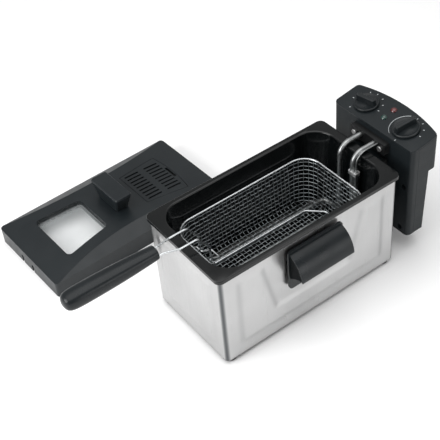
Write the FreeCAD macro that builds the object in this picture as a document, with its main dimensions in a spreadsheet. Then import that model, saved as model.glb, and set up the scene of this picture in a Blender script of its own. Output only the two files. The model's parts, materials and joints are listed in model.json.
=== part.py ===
"""Deep fryer: steel casing, lift-out bowl, control unit and wire basket, with its lid lying behind it.

Millimetres, +Z up, +X towards the control unit, +Y to the back, origin on the table under the casing.
"""

import math
import os
from types import SimpleNamespace

import FreeCAD
import Part
import Sketcher
from FreeCAD import Placement, Rotation, Vector

SIZES = {
    # casing
    "foot_height": 7.0,
    "foot_diameter": 20.0,
    "foot_inset": 12.0,
    "casing_length": 300.0,
    "casing_width": 157.0,
    "casing_height": 152.2,
    "casing_corner": 6.0,
    "casing_sheet": 1.0,
    "emboss_height": 1.8,
    "emboss_slope": 60.0,
    "emboss_margin": 25.0,
    "emboss_low": 20.0,
    "emboss_drop": 15.2,
    "emboss_corner": 11.0,
    "emboss_notch_low": 53.5,
    "emboss_notch_base": 62.0,
    "emboss_notch_top": 83.0,
    "end_emboss_width": 120.0,
    "base_sheet": 1.5,
    "base_rim_height": 10.0,
    "base_slot_length": 46.0,
    "base_slot_width": 4.0,
    "base_slot_pitch": 12.0,
    "seat_gap": 0.3,
    # side handles
    "handle_length": 92.0,
    "handle_height": 68.0,
    "handle_drop": 15.8,
    "handle_standoff": 3.5,
    "handle_plate": 3.5,
    "handle_reach": 32.5,
    "handle_wall": 3.3,
    "handle_lip_drop": 37.0,
    "handle_step": 4.5,
    "handle_plate_corner": 4.0,
    "handle_shoulder_drop": 7.0,
    "handle_shoulder_reach": 14.0,
    "handle_grip_radius": 42.0,
    "handle_screw_spacing": 56.0,
    "handle_screw_drop": 33.0,
    "screw_diameter": 4.0,
    "screw_head": 8.0,
    "screw_head_height": 2.4,
    "screw_clearance": 0.3,
    # bowl
    "lip_height": 5.6,
    "rim_overhang_end": 4.0,
    "rim_overhang_side": 3.5,
    "rim_corner": 9.0,
    "rim_sheet": 1.2,
    "rim_flange_end": 14.7,
    "rim_flange_side": 8.0,
    "opening_corner": 34.0,
    "bowl_depth": 125.8,
    "bowl_draft": 2.7,
    "bowl_floor_round": 12.0,
    "bowl_edge_round": 2.5,
    # control unit
    "unit_gap": 26.0,
    "unit_width": 158.0,
    "unit_depth": 47.0,
    "unit_bulge": 12.5,
    "unit_corner": 7.0,
    "unit_bottom": 32.0,
    "unit_rise": 19.6,
    "unit_wall": 2.5,
    "unit_seam": 12.0,
    "unit_step_level": 137.0,
    "unit_step": 6.3,
    "unit_taper": 4.3,
    "panel_sheet": 3.0,
    "panel_rise": 9.2,
    "panel_run": 60.0,
    "knob_row": 26.3,
    "knob_spacing": 78.0,
    "timer_diameter": 37.0,
    "thermostat_diameter": 40.0,
    "knob_skirt": 7.0,
    "knob_height": 17.0,
    "knob_bar": 9.0,
    "knob_draft": 8.0,
    "timer_rest_turn": 100.0,
    "thermostat_rest_turn": 172.0,
    "shaft_diameter": 6.0,
    "turn_gap": 0.4,
    "lamp_diameter": 9.2,
    "lamp_hole": 7.6,
    "lamp_ledge": 0.8,
    "lamp_dome": 2.6,
    "lamp_red_row": 41.9,
    "lamp_green_row": 23.1,
    "works_length": 34.0,
    "works_width": 44.0,
    "works_depth": 26.0,
    "guide_width": 68.0,
    "guide_wall": 4.0,
    "guide_base": 5.5,
    "guide_lip": 3.0,
    "guide_lip_reach": 8.0,
    "guide_gap": 2.5,
    "guide_low": 67.0,
    "guide_drop": 14.8,
    "bracket_reach": 9.0,
    "bracket_width": 70.0,
    "bracket_drop": 5.3,
    "bracket_rise": 12.7,
    "bracket_sheet": 1.5,
    "bracket_screw_spacing": 50.8,
    "bracket_screw_rise": 2.9,
    "unit_screw_wide": 132.0,
    "unit_screw_high": 118.0,
    "unit_screw_narrow": 126.0,
    "unit_screw_low": 41.0,
    "unit_screw_recess": 9.0,
    "pillar_sink": 1.0,
    "inlet_diameter": 16.0,
    "inlet_bore": 8.0,
    "inlet_shoulder": 1.0,
    # heating element
    "tube_diameter": 7.5,
    "tube_spacing": 26.6,
    "tube_rise": 5.6,
    "tube_gap": 10.8,
    "tube_top_bend": 17.0,
    "tube_low_bend": 12.0,
    "loop_rise": 12.0,
    "loop_gap_side": 29.0,
    "loop_gap_far": 35.3,
    "loop_gap_near": 36.5,
    "loop_inner": 30.0,
    "probe_diameter": 6.0,
    "probe_length": 62.0,
    "probe_drop": 18.8,
    "lead_rise": 9.2,
    "lead_sink": 1.0,
    "capillary_diameter": 2.0,
    "clip_sheet": 1.2,
    "clip_depth": 10.2,
    "clip_height": 5.0,
    # basket
    "basket_gap_left": 16.1,
    "basket_gap_right": 26.5,
    "basket_gap_side": 7.5,
    "basket_offset": 0.0,
    "basket_drop": 32.8,
    "basket_floor_rise": 6.0,
    "basket_draft": 5.0,
    "basket_corner": 28.5,
    "mesh_wire": 1.2,
    "mesh_pitch": 6.84,
    "mesh_gap": 0.02,
    "mesh_foot_gap": 0.05,
    "rim_wire": 3.0,
    "floor_wire_spread": 74.0,
    "floor_wire_splay": 22.0,
    "pivot_inset": 7.0,
    "pivot_drop": 5.0,
    "bracket_leg_spacing": 18.0,
    "bracket_leg_length": 15.0,
    "bracket_leg_drop": 6.0,
    "bracket_foot_spacing": 40.0,
    "bracket_foot_rise": 3.2,
    "handle_wire_spacing": 25.0,
    "handle_wire_neck": 14.8,
    "handle_wire_clearance": 12.2,
    "handle_wire_rise": 24.0,
    "handle_wire_land": 6.0,
    "handle_wire_run": 21.0,
    "grip_wire_lead": 6.0,
    "grip_wire_depth": 20.0,
    "grip_wire_drop": 1.0,
    "grip_bore_spare": 1.0,
    "grip_gap": 34.0,
    "grip_length": 135.0,
    "grip_rise": 4.0,
    "grip_width": 26.0,
    "grip_depth": 25.0,
    # lid
    "lid_x": -111.0,
    "lid_y": 265.0,
    "lid_turn": 2.0,
    "lid_length": 307.8,
    "lid_width": 163.4,
    "lid_skirt": 26.3,
    "lid_crown": 11.4,
    "lid_facet": 23.8,
    "lid_corner": 6.0,
    "lid_wall": 2.4,
    "notch_width": 5.0,
    "notch_height": 14.0,
    "notch_spacing": 29.0,
    "notch_offset": 4.0,
    "window_outer": 110.0,
    "window_inner": 33.5,
    "window_wide": 98.0,
    "window_narrow": 77.0,
    "window_corner": 7.0,
    "window_drop": 7.5,
    "window_rim": 3.0,
    "glass_sheet": 3.0,
    "lid_handle_left": -11.0,
    "lid_handle_right": 18.0,
    "lid_handle_span": 72.0,
    "lid_handle_foot_span": 52.0,
    "lid_handle_inset": 4.0,
    "lid_handle_height": 29.9,
    "lid_handle_round": 4.0,
    "cover_near": 41.0,
    "cover_far": 116.0,
    "cover_narrow": 75.0,
    "cover_wide": 94.0,
    "cover_bulge": 5.0,
    "cover_sheet": 2.4,
    "cover_gap": 0.6,
    "cover_slot_pitch": 8.1,
    "cover_slot_width": 3.0,
    "cover_slot_length": 25.0,
    "cover_slot_gap": 11.0,
    "cover_slot_inset": 6.0,
    "latch_inset": 1.6,
    "latch_depth": 4.5,
    "latch_width": 27.0,
    "tray_depth": 19.0,
    "tray_edge": 4.0,
    "tray_gap": 0.4,
    "tray_wall": 1.6,
    "pad_thickness": 11.0,
}
COVER_SLOTS = 9
MESH_RINGS = 10
CORNER_WIRES = 6
BASE_SLOTS = 15
PIECE_TYPES = ("PartDesign::Body", "Part::Feature", "Part::Mirroring")
CORNERS = ((-1, -1), (1, -1), (1, 1), (-1, 1))

doc = FreeCAD.newDocument("DeepFryer")
sheet = doc.addObject("Spreadsheet::Sheet", "Sizes")
for row, (alias, number) in enumerate(SIZES.items(), 1):
    sheet.set("A%d" % row, alias)
    sheet.set("B%d" % row, str(number))
    sheet.setAlias("B%d" % row, alias)
doc.recompute()


class Size:
    """A number together with the sheet expression that gives it."""

    def __init__(self, value, text=None):
        self.value = float(value)
        self.text = text or repr(float(value))

    def join(self, sign, other, value):
        return Size(value, "(%s %s %s)" % (self.text, sign, other.text))

    def __add__(self, other):
        other = as_size(other)
        return self.join("+", other, self.value + other.value)

    def __sub__(self, other):
        other = as_size(other)
        return self.join("-", other, self.value - other.value)

    def __mul__(self, other):
        other = as_size(other)
        return self.join("*", other, self.value * other.value)

    def __truediv__(self, other):
        other = as_size(other)
        return self.join("/", other, self.value / other.value)

    def __neg__(self):
        return Size(-self.value, "(0 - %s)" % self.text)


def as_size(number):
    return number if isinstance(number, Size) else Size(number)


d = SimpleNamespace(**{alias: Size(number, "Sizes." + alias) for alias, number in SIZES.items()})
ZERO = Size(0)

# Levels and sizes that follow from the casing and a named clearance.
rim_top = d.foot_height + d.casing_height + d.lip_height
d.emboss_high = d.casing_height - d.emboss_drop
d.handle_top = rim_top - d.handle_drop
d.handle_low = d.handle_top - d.handle_height
d.handle_lip_low = d.handle_top - d.handle_lip_drop
d.handle_screw_level = d.handle_top - d.handle_screw_drop
d.guide_high = rim_top - d.guide_drop
d.unit_shoulder = rim_top + d.unit_rise
d.bracket_low = rim_top - d.bracket_drop
d.bracket_high = rim_top + d.bracket_rise
d.bracket_screw_level = rim_top + d.bracket_screw_rise
d.tube_level = rim_top + d.tube_rise
d.lead_level = rim_top + d.lead_rise
d.probe_top = rim_top - d.probe_drop
d.loop_level = rim_top - d.bowl_depth + d.loop_rise
d.basket_floor_level = d.loop_level + d.basket_floor_rise
d.basket_rim_level = rim_top - d.basket_drop
d.handle_wire_level = rim_top + d.handle_wire_clearance
d.grip_level = d.handle_wire_level + d.grip_rise
d.rim_length = d.casing_length + d.rim_overhang_end * 2
d.rim_width = d.casing_width + d.rim_overhang_side * 2
d.opening_length = d.rim_length - d.rim_flange_end * 2
d.opening_width = d.rim_width - d.rim_flange_side * 2
d.basket_length = d.opening_length - d.basket_gap_left - d.basket_gap_right
d.basket_width = d.opening_width - d.basket_gap_side * 2
d.basket_shift = (d.basket_gap_left - d.basket_gap_right) / 2
d.tube_drop_at = d.opening_length / 2 - d.tube_gap
d.loop_far = d.opening_length / 2 - d.loop_gap_far
d.loop_near = d.tube_drop_at - d.loop_gap_near
d.loop_outer = d.opening_width - d.loop_gap_side * 2
d.grip_start = d.rim_length / 2 + d.grip_gap


def bind(thing, path, size):
    thing.setExpression(path, as_size(size).text)


def new_body(label):
    body = doc.addObject("PartDesign::Body", label)
    body.Label = label
    return body


def origin_plane(body, role):
    return next(item for item in body.Origin.OriginFeatures if item.Role == role)


def new_sketch(body, name, plane, level=None, turn=None):
    """An empty sketch on an origin plane, moved along its normal and turned about it."""
    sketch = body.newObject("Sketcher::SketchObject", name)
    sketch.AttachmentSupport = [(origin_plane(body, plane), "")]
    sketch.MapMode = "FlatFace"
    if turn is not None:
        sketch.AttachmentOffset = Placement(Vector(), Rotation(Vector(0, 0, 1), turn.value))
        bind(sketch, "AttachmentOffset.Rotation.Angle", turn)
    if level is not None:
        sketch.AttachmentOffset = Placement(Vector(0, 0, level.value), sketch.AttachmentOffset.Rotation)
        bind(sketch, "AttachmentOffset.Base.z", level)
    return sketch


def pin(sketch, element, end, x, y):
    """Holds one point of a sketch at bound distances from the sketch origin."""
    for kind, size, axis in (("DistanceX", as_size(x), -2), ("DistanceY", as_size(y), -1)):
        if size.value == 0:
            sketch.addConstraint(Sketcher.Constraint("PointOnObject", element, end, axis))
        else:
            index = sketch.addConstraint(Sketcher.Constraint(kind, -1, 1, element, end, size.value))
            bind(sketch, "Constraints[%d]" % index, size)


def hold_radius(sketch, element, radius):
    index = sketch.addConstraint(Sketcher.Constraint("Radius", element, radius.value))
    bind(sketch, "Constraints[%d]" % index, radius)


def arc_between(begin, finish, centre):
    """The counter-clockwise arc from one point to another."""
    first = math.atan2(begin.y - centre.y, begin.x - centre.x)
    last = math.atan2(finish.y - centre.y, finish.x - centre.x)
    circle = Part.Circle(centre, Vector(0, 0, 1), (begin - centre).Length)
    return Part.ArcOfCircle(circle, first, last if last > first else last + 2 * math.pi)


def draw_loop(sketch, corners, bulges=None):
    """Draws a closed counter-clockwise outline of (x, y) or (x, y, radius) corners.

    A side listed in bulges is an arc of that radius, outwards where the radius is positive.
    """
    bulges = bulges or {}
    count = len(corners)
    spots = [Vector(as_size(c[0]).value, as_size(c[1]).value, 0) for c in corners]
    radii = [as_size(c[2]) if len(c) > 2 else None for c in corners]
    aims = [(spots[(i + 1) % count] - spots[i]).normalize() for i in range(count)]
    trims = []
    for i in range(count):
        turn = aims[i - 1].getAngle(aims[i])
        trims.append(radii[i].value * math.tan(turn / 2) if radii[i] else 0.0)
    sides = []
    for i in range(count):
        begin = spots[i] + aims[i] * trims[i]
        finish = spots[(i + 1) % count] - aims[i] * trims[(i + 1) % count]
        if i not in bulges:
            sides.append((sketch.addGeometry(Part.LineSegment(begin, finish)), 1, 2))
            continue
        radius = bulges[i]
        half = (finish - begin).Length / 2
        left = Vector(-aims[i].y, aims[i].x, 0)
        away = math.sqrt(radius.value ** 2 - half ** 2)
        middle = (begin + finish) / 2
        if radius.value > 0:
            side = sketch.addGeometry(arc_between(begin, finish, middle + left * away))
            sides.append((side, 1, 2))
            hold_radius(sketch, side, radius)
        else:
            side = sketch.addGeometry(arc_between(finish, begin, middle - left * away))
            sides.append((side, 2, 1))
            hold_radius(sketch, side, -radius)
    for i in range(count):
        before, _, before_end = sides[i - 1]
        after, after_start, _ = sides[i]
        if radii[i] is None:
            sketch.addConstraint(Sketcher.Constraint("Coincident", before, before_end, after, after_start))
            pin(sketch, after, after_start, corners[i][0], corners[i][1])
            continue
        outer = aims[i - 1].x * aims[i].y - aims[i - 1].y * aims[i].x > 0
        begin = spots[i] - aims[i - 1] * trims[i]
        finish = spots[i] + aims[i] * trims[i]
        left = Vector(-aims[i].y, aims[i].x, 0)
        if outer:
            arc = sketch.addGeometry(arc_between(begin, finish, finish + left * radii[i].value))
        else:
            arc = sketch.addGeometry(arc_between(finish, begin, finish - left * radii[i].value))
        ends = (1, 2) if outer else (2, 1)
        point = sketch.addGeometry(Part.Point(spots[i]), True)
        pin(sketch, point, 1, corners[i][0], corners[i][1])
        sketch.addConstraint(Sketcher.Constraint("PointOnObject", point, 1, before))
        sketch.addConstraint(Sketcher.Constraint("PointOnObject", point, 1, after))
        sketch.addConstraint(Sketcher.Constraint("Tangent", before, before_end, arc, ends[0]))
        sketch.addConstraint(Sketcher.Constraint("Tangent", arc, ends[1], after, after_start))
        hold_radius(sketch, arc, radii[i])


def outline(body, name, plane, corners, level=None, bulges=None, turn=None):
    sketch = new_sketch(body, name, plane, level, turn)
    draw_loop(sketch, corners, bulges)
    return sketch


def rectangle(left, low, right, high, *radius):
    corners = ((left, low), (right, low), (right, high), (left, high))
    return [corner + radius for corner in corners]


def centred(length, width, *radius):
    return rectangle(-length / 2, -width / 2, length / 2, width / 2, *radius)


def circles(body, name, plane, centres, diameter, level=None):
    """A sketch of equal circles at bound centres."""
    sketch = new_sketch(body, name, plane, level)
    for x, y in centres:
        middle = Vector(as_size(x).value, as_size(y).value, 0)
        ring = sketch.addGeometry(Part.Circle(middle, Vector(0, 0, 1), diameter.value / 2))
        hold_radius(sketch, ring, diameter / 2)
        pin(sketch, ring, 3, x, y)
    return sketch


def settle(feature):
    """Recomputes the model and makes sure that the new feature has come out whole."""
    doc.recompute()
    if "Invalid" in feature.State or feature.Shape.isNull() or not feature.Shape.isValid():
        raise ValueError("%s has failed" % feature.Name)
    return feature


def extrude(kind, body, sketch, length, both, flip, slope):
    feature = body.newObject("PartDesign::" + kind, sketch.Name + kind)
    feature.Profile = sketch
    feature.SideType = "Symmetric" if both else "One side"
    feature.Reversed = flip
    if length is None:
        feature.Type = "ThroughAll"
    else:
        bind(feature, "Length", length)
    if slope is not None:
        bind(feature, "TaperAngle", slope)
    return settle(feature)


def pad(body, sketch, length, both=False, flip=False, slope=None):
    return extrude("Pad", body, sketch, length, both, flip, slope)


def pocket(body, sketch, length=None, both=False, flip=False, slope=None):
    before = body.Tip.Shape.Volume
    feature = extrude("Pocket", body, sketch, length, both, flip, slope)
    if feature.Shape.Volume > before - 1e-6:
        raise ValueError("%s removes nothing from %s" % (feature.Name, body.Label))
    return feature


def revolve(body, sketch):
    feature = body.newObject("PartDesign::Revolution", sketch.Name + "Revolution")
    feature.Profile = sketch
    feature.ReferenceAxis = (sketch, ["V_Axis"])
    feature.Angle = 360
    return settle(feature)


def loft(body, sketches):
    feature = body.newObject("PartDesign::AdditiveLoft", sketches[0].Name + "Loft")
    feature.Profile = sketches[0]
    feature.Sections = sketches[1:]
    return settle(feature)


def mirror(body, features, role):
    feature = body.newObject("PartDesign::Mirrored", features[0].Name + "Mirror")
    feature.Originals = features
    feature.MirrorPlane = (origin_plane(body, role), [""])
    body.Tip = feature
    return settle(feature)


def pattern(body, original, role, length, count):
    feature = body.newObject("PartDesign::LinearPattern", original.Name + "Row")
    feature.Originals = [original]
    feature.Direction = (origin_plane(body, role), [""])
    bind(feature, "Length", length)
    feature.Occurrences = count
    body.Tip = feature
    return settle(feature)


def soften(body, radius, wanted, kind="Fillet"):
    """Rounds (or chamfers) the edges of the body's last feature that pass the test."""
    base = body.Tip
    names = ["Edge%d" % (i + 1) for i, edge in enumerate(base.Shape.Edges) if wanted(edge)]
    feature = body.newObject("PartDesign::" + kind, base.Name + kind)
    feature.Base = (base, names)
    bind(feature, "Radius" if kind == "Fillet" else "Size", radius)
    return settle(feature)


def combine(body, other, kind):
    feature = body.newObject("PartDesign::Boolean", other.Name + kind)
    feature.Type = kind
    feature.addObject(other)
    return settle(feature)


def subtract(body, other):
    return combine(body, other, "Cut")


def upright(edge):
    return edge.Length > 0.5 and abs(edge.tangentAt(edge.FirstParameter).z) > 0.999 and (
        abs(edge.tangentAt(edge.LastParameter).z) > 0.999)


def level_with(height):
    def test(edge):
        return abs(edge.BoundBox.ZMin - height.value) < 0.01 and abs(edge.BoundBox.ZMax - height.value) < 0.01
    return test


def add_shape(label, shape):
    thing = doc.addObject("Part::Feature", label)
    thing.Label = label
    thing.Shape = shape
    return thing


def bent_wire(points, bends):
    """A path of straight runs joined by tangent arcs; a bend is one radius or one for each inner point."""
    points = [Vector(*p) for p in points]
    if not isinstance(bends, (list, tuple)):
        bends = [bends] * (len(points) - 2)
    edges = []
    last = points[0]
    for before, corner, after, bend in zip(points, points[1:], points[2:], bends):
        back = (before - corner).normalize()
        ahead = (after - corner).normalize()
        half = back.getAngle(ahead) / 2
        begin = corner + back * (bend / math.tan(half))
        finish = corner + ahead * (bend / math.tan(half))
        inward = (back + ahead).normalize()
        middle = corner + inward * (bend / math.sin(half) - bend)
        if (begin - last).Length > 1e-6:
            edges.append(Part.makeLine(last, begin))
        edges.append(Part.Arc(begin, middle, finish).toShape())
        last = finish
    edges.append(Part.makeLine(last, points[-1]))
    return Part.Wire(edges)


def rod_along(path, diameter):
    """A round rod along a path, with one cylinder or ring segment for each run or bend."""
    pieces = []
    for edge in path.OrderedEdges:
        start = edge.valueAt(edge.FirstParameter)
        aim = edge.tangentAt(edge.FirstParameter)
        finish = edge.valueAt(edge.LastParameter)
        if edge.Orientation == "Reversed":
            start, finish = finish, start
            aim = -edge.tangentAt(edge.LastParameter)
        disc = Part.Face(Part.Wire(Part.makeCircle(diameter / 2, start, aim)))
        if edge.Curve.TypeId == "Part::GeomLine":
            pieces.append(disc.extrude(finish - start))
        else:
            centre = edge.Curve.Center
            axis = (start - centre).cross(aim)
            angle = math.degrees(edge.Length / edge.Curve.Radius)
            pieces.append(disc.revolve(centre, axis, angle))
    return pieces[0].multiFuse(pieces[1:]) if len(pieces) > 1 else pieces[0]


def stick(begin, finish, thickness, facing):
    """A square wire with one pair of its sides square to the facing direction."""
    aim = (finish - begin).normalize()
    out = (facing - aim * facing.dot(aim)).normalize() * (thickness / 2)
    across = aim.cross(out)
    ring = [begin + out + across, begin - out + across, begin - out - across, begin + out - across]
    return Part.Face(Part.makePolygon(ring + ring[:1])).extrude(finish - begin)


# Faces and spots that several pieces share.
casing_top = rim_top - d.rim_sheet - d.seat_gap
casing_front = d.casing_width / 2
casing_end = d.casing_length / 2
handle_screw_spots = [(d.handle_screw_spacing * side / 2, d.handle_screw_level) for side in (-1, 1)]
foot_spots = [((casing_end - d.foot_inset) * i, (casing_front - d.foot_inset) * j)
              for i in (-1, 1) for j in (-1, 1)]
rivet_spots = [(d.guide_width * i / 4, d.guide_low + (d.guide_high - d.guide_low) * j)
               for i in (-1, 1) for j in (0.25, 0.75)]
screw_hole = d.screw_diameter + d.screw_clearance


# Casing
def make_casing():
    body = new_body("outer_casing")
    walls = outline(body, "CasingOutside", "XY_Plane",
                    centred(d.casing_length, d.casing_width, d.casing_corner), d.foot_height)
    pad(body, walls, casing_top - d.foot_height)
    inside = centred(d.casing_length - d.casing_sheet * 2, d.casing_width - d.casing_sheet * 2,
                     d.casing_corner - d.casing_sheet)
    pocket(body, outline(body, "CasingInside", "XY_Plane", inside, casing_top))
    half = casing_end - d.emboss_margin
    low = d.foot_height + d.emboss_low
    high = d.foot_height + d.emboss_high
    notch = d.foot_height + d.emboss_notch_low
    corner = d.emboss_corner
    raised = [(-half, low, corner), (half, low, corner), (half, high, corner),
              (d.emboss_notch_top, high, corner), (d.emboss_notch_base, notch, corner),
              (-d.emboss_notch_base, notch, corner), (-d.emboss_notch_top, high, corner),
              (-half, high, corner)]
    front = outline(body, "FrontEmboss", "XZ_Plane", raised, casing_front)
    panel = pad(body, front, d.emboss_height, slope=-d.emboss_slope)
    mirror(body, [panel], "XZ_Plane")
    end = rectangle(-d.end_emboss_width / 2, low, d.end_emboss_width / 2, high, corner)
    sketch = outline(body, "EndEmboss", "YZ_Plane", end, -casing_end)
    pad(body, sketch, d.emboss_height, flip=True, slope=-d.emboss_slope)
    holes = circles(body, "HandleHoles", "XZ_Plane", handle_screw_spots, screw_hole)
    pocket(body, holes, both=True)
    holes = circles(body, "RivetHoles", "YZ_Plane", rivet_spots, d.screw_diameter, casing_end)
    pocket(body, holes, d.casing_sheet)


def make_base():
    length = d.casing_length - d.casing_sheet * 2
    width = d.casing_width - d.casing_sheet * 2
    corner = d.casing_corner - d.casing_sheet
    body = new_body("base_plate")
    tray = outline(body, "BaseOutside", "XY_Plane", centred(length, width, corner), d.foot_height)
    pad(body, tray, d.base_rim_height)
    rim = d.base_sheet * 2
    hollow = centred(length - rim, width - rim, corner - d.base_sheet)
    top = outline(body, "BaseInside", "XY_Plane", hollow, d.foot_height + d.base_rim_height)
    pocket(body, top, d.base_rim_height - d.base_sheet)
    holes = circles(body, "BaseHoles", "XY_Plane", foot_spots, screw_hole, d.foot_height + d.base_sheet)
    pocket(body, holes, d.base_sheet)
    span = d.base_slot_pitch * (BASE_SLOTS - 1)
    left = -span / 2 - d.base_slot_width / 2
    slot = rectangle(left, -d.base_slot_length / 2, left + d.base_slot_width, d.base_slot_length / 2)
    sketch = outline(body, "BaseSlot", "XY_Plane", slot, d.foot_height + d.base_sheet)
    pattern(body, pocket(body, sketch, d.base_sheet), "YZ_Plane", span, BASE_SLOTS)

    body = new_body("feet")
    pad(body, circles(body, "FootDiscs", "XY_Plane", foot_spots, d.foot_diameter), d.foot_height)
    soften(body, d.foot_height / 5, level_with(ZERO), "Chamfer")
    recess = d.foot_height / 2
    seats = circles(body, "FootSeats", "XY_Plane", foot_spots, d.screw_head + d.screw_clearance * 2)
    pocket(body, seats, recess, flip=True)
    holes = circles(body, "FootHoles", "XY_Plane", foot_spots, screw_hole, d.foot_height)
    pocket(body, holes, d.foot_height)

    body = new_body("foot_screws")
    heads = circles(body, "FootScrewHeads", "XY_Plane", foot_spots, d.screw_head, recess)
    pad(body, heads, d.screw_head_height, flip=True)
    shanks = circles(body, "FootScrewShanks", "XY_Plane", foot_spots, d.screw_diameter, recess)
    pad(body, shanks, d.foot_height - recess + d.base_sheet * 3)


def make_side_handles():
    back = -(casing_front + d.handle_standoff)
    face = back - d.handle_plate
    shoulder = -(casing_front + d.handle_shoulder_reach)
    tip = -(casing_front + d.handle_reach)
    top = d.handle_top
    bend = top - d.handle_shoulder_drop
    wall = d.handle_wall
    section = [(back, d.handle_low), (back, top), (face, top), (face, top - d.handle_step), (shoulder, bend),
               (tip, d.handle_lip_low), (tip + wall * 0.9, d.handle_lip_low - wall * 0.45),
               (shoulder + wall * 0.5, bend - wall), (face, bend - wall * 0.6), (face, d.handle_low)]
    body = new_body("side_handle_front")
    sketch = outline(body, "HandleSection", "YZ_Plane", section,
                     bulges={4: d.handle_grip_radius, 6: wall - d.handle_grip_radius})
    pad(body, sketch, d.handle_length, both=True)

    def at_plate_corner(edge):
        box = edge.BoundBox
        level = box.Center.z
        across = box.XLength < 0.01 and box.ZLength < 0.01 and box.YMin > face.value - 0.01
        return across and (level > top.value - 0.01 or level < d.handle_low.value + 0.01)
    soften(body, d.handle_plate_corner, at_plate_corner)
    inset = d.handle_length / 8
    foot = rectangle(-d.handle_length / 2 + inset, d.handle_low + inset,
                     d.handle_length / 2 - inset, top - inset, inset / 2)
    sketch = outline(body, "HandleFoot", "XZ_Plane", foot, casing_front)
    pad(body, sketch, d.handle_standoff)
    holes = circles(body, "HandleScrewHoles", "XZ_Plane", handle_screw_spots, screw_hole, casing_front)
    pocket(body, holes, d.handle_standoff + d.handle_plate * 0.5, flip=True)

    twin = doc.addObject("Part::Mirroring", "side_handle_back")
    twin.Label = "side_handle_back"
    twin.Source = body
    twin.Normal = Vector(0, 1, 0)

    body = new_body("handle_screws")
    inner = casing_front - d.casing_sheet
    heads = circles(body, "HandleScrewHeads", "XZ_Plane", handle_screw_spots, d.screw_head, inner)
    shanks = circles(body, "HandleScrewShanks", "XZ_Plane", handle_screw_spots, d.screw_diameter, inner)
    features = [pad(body, heads, d.screw_head_height, flip=True),
                pad(body, shanks, d.casing_sheet + d.handle_standoff + d.handle_plate * 0.4)]
    mirror(body, features, "XZ_Plane")


# Bowl
def tub_plan(skin):
    return centred(d.opening_length + skin * 2, d.opening_width + skin * 2, d.opening_corner + skin)


def make_bowl():
    body = new_body("oil_bowl")
    lip_low = rim_top - d.lip_height
    rim = outline(body, "RimOutside", "XY_Plane", centred(d.rim_length, d.rim_width, d.rim_corner), lip_low)
    pad(body, rim, d.lip_height)
    soften(body, d.rim_sheet * 0.9, level_with(rim_top))
    fold = d.rim_sheet * 2
    under = centred(d.rim_length - fold, d.rim_width - fold, d.rim_corner - d.rim_sheet)
    sketch = outline(body, "RimUnderside", "XY_Plane", under, lip_low)
    pocket(body, sketch, d.lip_height - d.rim_sheet, flip=True)
    sketch = outline(body, "TubOutside", "XY_Plane", tub_plan(d.rim_sheet), rim_top - d.rim_sheet / 2)
    pad(body, sketch, d.bowl_depth + d.rim_sheet / 2, flip=True, slope=-d.bowl_draft)
    soften(body, d.bowl_floor_round + d.rim_sheet, level_with(rim_top - d.bowl_depth - d.rim_sheet))
    space = new_body("bowl_space")
    pad(space, outline(space, "TubInside", "XY_Plane", tub_plan(ZERO), rim_top), d.bowl_depth,
        flip=True, slope=-d.bowl_draft)
    soften(space, d.bowl_floor_round, level_with(rim_top - d.bowl_depth))
    subtract(body, space)
    mouth = d.opening_length.value / 2 + 1

    def at_mouth(edge):
        return level_with(rim_top)(edge) and edge.BoundBox.XMax < mouth and edge.BoundBox.XMin > -mouth and (
            abs(edge.BoundBox.Center.y) < d.opening_width.value / 2 + 1)
    soften(body, d.bowl_edge_round, at_mouth)


# Control unit
unit_in = casing_end + d.unit_gap
unit_out = unit_in + d.unit_depth
unit_half = d.unit_width / 2
bulge_radius = (unit_half * unit_half + d.unit_bulge * d.unit_bulge) / (d.unit_bulge * 2)
panel_slope = d.panel_rise / d.panel_run
panel_tilt = Size(math.degrees(math.atan(panel_slope.value)), "atan(%s)" % panel_slope.text)
tongue_far = casing_end + d.guide_base + d.seat_gap
tongue_near = unit_in - d.guide_gap - d.guide_lip - d.seat_gap * 2
tongue_half = d.guide_width / 2 - d.guide_wall - d.seat_gap
unit_screws = [(d.unit_screw_wide * side / 2, d.unit_screw_high) for side in (-1, 1)] + [
    (d.unit_screw_narrow * side / 2, d.unit_screw_low) for side in (-1, 1)]
bracket_screws = [(d.bracket_screw_spacing * side / 2, d.bracket_screw_level) for side in (-1, 1)]
tube_spots = [(d.tube_spacing * side / 2, d.tube_level) for side in (-1, 1)]
probe_lane = -(d.tube_spacing + d.tube_diameter + d.probe_diameter) / 2 - d.seat_gap
lead_hole = d.capillary_diameter + d.screw_clearance
inlet_x = unit_in + d.unit_seam + d.inlet_diameter * 0.53


def on_panel(thing):
    """Places a piece drawn flat on the sloping underside of the control panel."""
    thing.Placement = Placement(Vector(unit_in.value, 0, d.unit_shoulder.value),
                                Rotation(Vector(0, -1, 0), panel_tilt.value))
    bind(thing, "Placement.Base.x", unit_in)
    bind(thing, "Placement.Base.z", d.unit_shoulder)
    bind(thing, "Placement.Rotation.Angle", panel_tilt)


def shoulder_at(x):
    return d.unit_shoulder + panel_slope * (x - unit_in)


def trim_to_panel(body, name):
    """Cuts a shell off along the underside of the sloping panel."""
    left = unit_in - d.unit_wall
    right = unit_out + d.unit_bulge + d.unit_wall
    above = d.unit_shoulder + d.panel_rise * 4
    wedge = [(left, shoulder_at(left)), (right, shoulder_at(right)), (right, above), (left, above)]
    pocket(body, outline(body, name, "XZ_Plane", wedge), both=True)


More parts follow.
